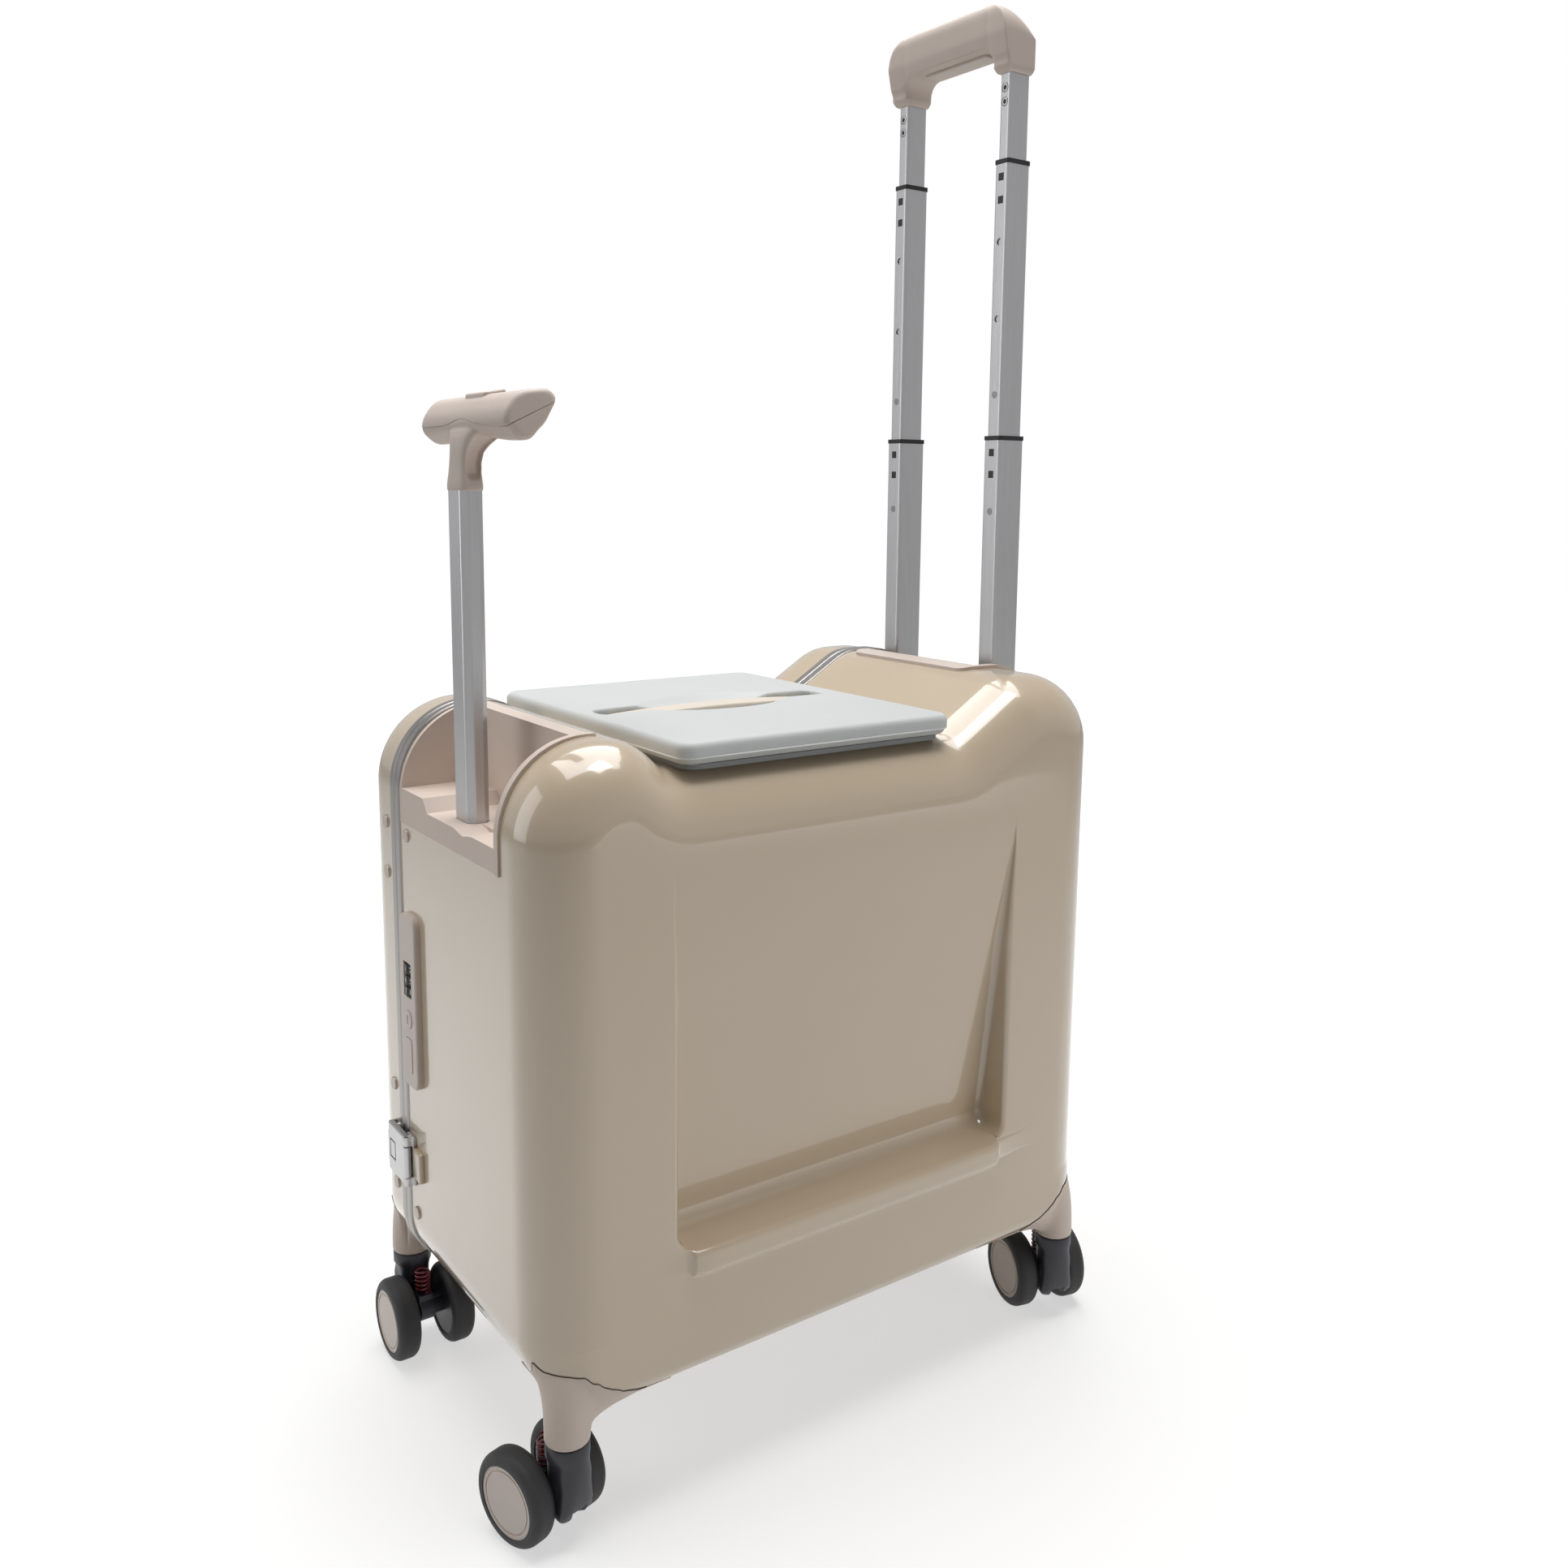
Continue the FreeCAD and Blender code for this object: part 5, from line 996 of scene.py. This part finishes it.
def dial_digits(number):
    """The ten digits round one dial, laid on its rim."""
    parts = []
    for digit in range(10):
        curve = bpy.data.curves.new("digit", "FONT")
        curve.body = str(digit)
        curve.size = DIGIT_SIZE
        curve.align_x = "CENTER"
        curve.align_y = "CENTER"
        curve.extrude = DIGIT_THICK
        mesh = baked(placed("digit", curve))
        bpy.data.curves.remove(curve)
        angle = math.radians(DIGIT_TURN * (digit + 3 * number))
        part = bmesh.new()
        part.from_mesh(mesh)
        bpy.data.meshes.remove(mesh)
        for v in part.verts:
            a = angle + v.co.x / DIAL_R
            r = DIAL_R + v.co.z - DIGIT_SINK
            v.co = Vector((DIAL_X + r * math.cos(a), DIAL_Y + r * math.sin(a),
                           DIAL_Z + DIAL_STEP * (number - 2) + v.co.y))
        parts.append(part)
    return joined(parts)


for number in (1, 2, 3):
    formed(f"dial_digits_{number}", dial_digits(number), SHARP_ANGLE, [white_ink],
           f"dial_{number}", "black_plastic")


# The castors, as (x, y, direction of the trail in degrees)

CASTORS = {"front_left": (193, 120, -75), "front_right": (193, -120, 90),
           "rear_left": (-193, 120, -105), "rear_right": (-193, -120, 98)}
# The boot's rows are (height, rear end, front end, half width, squareness).
BOOT = [(62.4, -12.2, 12.2, 12.2, 2.0), (61.6, -12.7, 12.7, 12.7, 2.0),
        (54.8, -12.8, 12.7, 12.7, 2.0), (53.0, -12.8, 12.4, 11.6, 2.1),
        (50.0, -12.8, 12.0, 10.6, 2.3), (44.0, -12.6, 11.4, 10.0, 2.5),
        (37.0, -12.2, 11.0, 9.8, 2.7), (30.0, -11.4, 10.6, 10.2, 3.2),
        (25.0, -10.4, 10.0, 10.7, 3.8), (21.0, -9.2, 8.6, 10.7, 3.8),
        (18.6, -7.8, 6.8, 9.8, 3.2), (17.2, -6.0, 4.8, 8.2, 2.8)]
BOOT_SIDES, BOOT_SHARP, BOOT_ROUND, BOOT_EDGE = 48, 60, 0.5, 50
APRON, APRON_LONG, APRON_Z, APRON_SPAN = 0.2, 9, 52, 8
ARM_SLOT, ARM_SLOT_SIZE = (22.5, 0, 27), (65, 10.8, 40)
ARM_ROUND, CAP_THICK, SPRING_TOP = 0.5, 3, 0.0553


def boot(x, y, trail):
    """The dark boot over one pair of wheels, slotted for its arm."""
    rings = []
    for z, u0, u1, half, power in BOOT:
        ring = []
        for a in turns(BOOT_SIDES):
            c, s = math.cos(a), math.sin(a)
            u = (u0 + u1) / 2 + (u1 - u0) / 2 * signed_power(c, 2 / power)
            low = smoothstep((APRON_Z - z) / APRON_SPAN)
            apron = 1 + APRON * smoothstep(-u / APRON_LONG) * low
            ring.append((u, half * apron * signed_power(s, 2 / power), z))
        rings.append(ring)
    body = placed("boot", to_mesh("boot", loft(rings), BOOT_SHARP))
    blade = placed("blade", to_mesh("blade", box(ARM_SLOT, ARM_SLOT_SIZE)))
    cut = body.modifiers.new("slot", "BOOLEAN")
    cut.operation = "DIFFERENCE"
    cut.solver = "EXACT"
    cut.object = blade
    soft_edges(body, BOOT_ROUND, BOOT_EDGE)
    mesh = baked(body)
    bpy.data.objects.remove(blade)
    turned = Matrix.Rotation(math.radians(trail), 4, "Z")
    mesh.transform(Matrix.Translation((x * MM, y * MM, 0)) @ turned)
    return mesh


for name, (x, y, trail) in CASTORS.items():
    piece(f"{name}_boot", boot(x, y, trail), [fork], f"{name}_swivel", "fork_plastic",
          f"{name}_yoke")
    dress(f"{name}_arm", fork, ARM_ROUND)
    dress(f"{name}_tyres", rubber)
    # The hubs are pale outside and dark on the side that faces the fork.
    hubs = dress(f"{name}_hubs", cap).data
    hubs.materials.append(fork)
    axle = Vector((-math.sin(math.radians(trail)), math.cos(math.radians(trail)), 0))
    middle = Vector((x, y, 0))
    outward = [abs((polygon.center / MM - middle).dot(axle)) for polygon in hubs.polygons]
    for polygon, reach in zip(hubs.polygons, outward):
        polygon.material_index = int(reach < max(outward) - CAP_THICK)
    wire = nodes[f"{name}_spring"].data.copy()
    wire.materials.clear()
    for polygon in wire.polygons:
        polygon.use_smooth = True
    spring = piece(f"{name}_coil", wire, [coil], f"{name}_swivel", "spring_steel",
                   f"{name}_spring")
    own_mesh(spring)


# Floor and world: white to the camera, dimmer in reflections, so that gloss keeps its contrast; in
# reflections the floor's glow is a painted pool of light round the case, and the world is painted
# darker towards the ceiling

FLOOR_HALF = 8
FADE_FAR, FADE_LEVEL = (0.3, 2.0), (0.58, 1.0)
PAINTED_POOL_FAR, PAINTED_POOL_LEVEL = (0.5, 2.6), (0.6, 0.25)
WORLD_LEVEL = (0.05, 1.0)
CEILING_RISE, CEILING_DIM = (0.25, 0.7), (0.45, 0.7)


def seen_ray(tree):
    """One for a ray that shows the background: seen, reflected or through something clear."""
    rays = shader_node(tree, "ShaderNodeLightPath").outputs
    direct = combined(tree, "MAXIMUM", rays["Is Camera Ray"], rays["Is Glossy Ray"])
    return combined(tree, "MAXIMUM", direct, rays["Is Transmission Ray"])


def glossy_ray(tree):
    """One for a ray that is a reflection."""
    return shader_node(tree, "ShaderNodeLightPath").outputs["Is Glossy Ray"]


floor_mesh = bpy.data.meshes.new("floor")
floor_mesh.from_pydata([(-FLOOR_HALF, -FLOOR_HALF, 0), (FLOOR_HALF, -FLOOR_HALF, 0),
                        (FLOOR_HALF, FLOOR_HALF, 0), (-FLOOR_HALF, FLOOR_HALF, 0)],
                       [], [(0, 1, 2, 3)])
floor = placed("floor", floor_mesh)
paper = surface("floor_paper", srgb(192, 192, 191), rough=0.9, swing=0.004, patch=3.0,
                grain=300.0, depth=0.02)
floor_mesh.materials.append(paper)
tree = paper.node_tree
place = shader_node(tree, "ShaderNodeTexCoord")
far = shader_node(tree, "ShaderNodeVectorMath", {0: place.outputs["Object"]})
far.operation = "LENGTH"
fade = map_range(tree, far.outputs["Value"], FADE_FAR, FADE_LEVEL, "SMOOTHSTEP")
# Painted light: in reflections the floor glows brightest near the case and fades further off, a
# painted pool of light.
painted_pool = map_range(tree, far.outputs["Value"], PAINTED_POOL_FAR, PAINTED_POOL_LEVEL, "SMOOTHSTEP")
chosen = shader_node(tree, "ShaderNodeMix", {0: glossy_ray(tree), 2: fade, 3: painted_pool})
shown = combined(tree, "MULTIPLY", chosen.outputs[0], seen_ray(tree))
glow = shader_node(tree, "ShaderNodeEmission", {"Color": WHITE, "Strength": shown})
both = shader_node(tree, "ShaderNodeAddShader", {
    0: tree.nodes["Principled BSDF"].outputs[0], 1: glow.outputs[0]})
tree.links.new(both.outputs[0], tree.nodes["Material Output"].inputs["Surface"])

world = bpy.data.worlds.new("studio")
scene.world = world
world.use_nodes = True
tree = world.node_tree
tree.nodes.clear()
level = map_range(tree, seen_ray(tree), (0.0, 1.0), WORLD_LEVEL)
heading = shader_node(tree, "ShaderNodeTexCoord")
rise = shader_node(tree, "ShaderNodeSeparateXYZ", {"Vector": heading.outputs["Generated"]})
ceiling = map_range(tree, rise.outputs["Z"], CEILING_RISE, CEILING_DIM, "SMOOTHSTEP")
dim = combined(tree, "MULTIPLY", ceiling, glossy_ray(tree))
lit = combined(tree, "SUBTRACT", level, dim)
sky = shader_node(tree, "ShaderNodeBackground", {"Color": WHITE, "Strength": lit})
shader_node(tree, "ShaderNodeOutputWorld", {"Surface": sky.outputs["Background"]})


# Lamps and camera

def lamp(name, place, target, size, power, reflected=True):
    """An area lamp aimed at a target, seen in reflections or not."""
    light = bpy.data.lights.new(name, "AREA")
    light.shape = "RECTANGLE"
    light.size, light.size_y = size
    light.energy = power
    obj = placed(name, light)
    obj.location = place
    obj.rotation_euler = (Vector(target) - Vector(place)).to_track_quat("-Z", "Y").to_euler()
    obj.visible_glossy = reflected


lamp("overhead", (-0.1, -0.4, 2.3), (0, 0, 0.3), (2.0, 2.0), 48)
lamp("high", (-0.2, 0.45, 2.6), (0, 0.1, 0.3), (0.7, 0.7), 10)
lamp("left", (2.2, -1.0, 1.1), (0, 0, 0.3), (1.3, 2.0), 13)
lamp("right", (-0.9, 1.9, 0.25), (0, 0, 0.05), (1.6, 0.5), 10.5, False)

# The camera was fitted to the photograph: focal length and middle row in its pixels.
PHOTO_SIZE, FOCAL, MIDDLE_ROW, SENSOR = 1932, 1701.9, 850, 36
CAMERA_PLACE, CAMERA_TURN = (0.5061, 0.7618, 0.5889), (-125.448, -8.261, 0.554)

camera_data = bpy.data.cameras.new("camera")
camera_data.sensor_width = SENSOR
camera_data.lens = SENSOR * FOCAL / PHOTO_SIZE
camera_data.shift_y = (MIDDLE_ROW - PHOTO_SIZE / 2) / PHOTO_SIZE
camera_data.clip_start = 0.05
camera = placed("camera", camera_data)
yaw, pitch, roll = (math.radians(a) for a in CAMERA_TURN)
ahead = Vector((math.cos(pitch) * math.cos(yaw), math.cos(pitch) * math.sin(yaw),
                math.sin(pitch)))
level_right = ahead.cross(UP).normalized()
level_up = level_right.cross(ahead)
right = level_right * math.cos(roll) + level_up * math.sin(roll)
up = level_up * math.cos(roll) - level_right * math.sin(roll)
turn = Matrix((right, up, -ahead)).transposed().to_4x4()
camera.matrix_world = Matrix.Translation(CAMERA_PLACE) @ turn
scene.camera = camera
scene.view_settings.view_transform = "Standard"
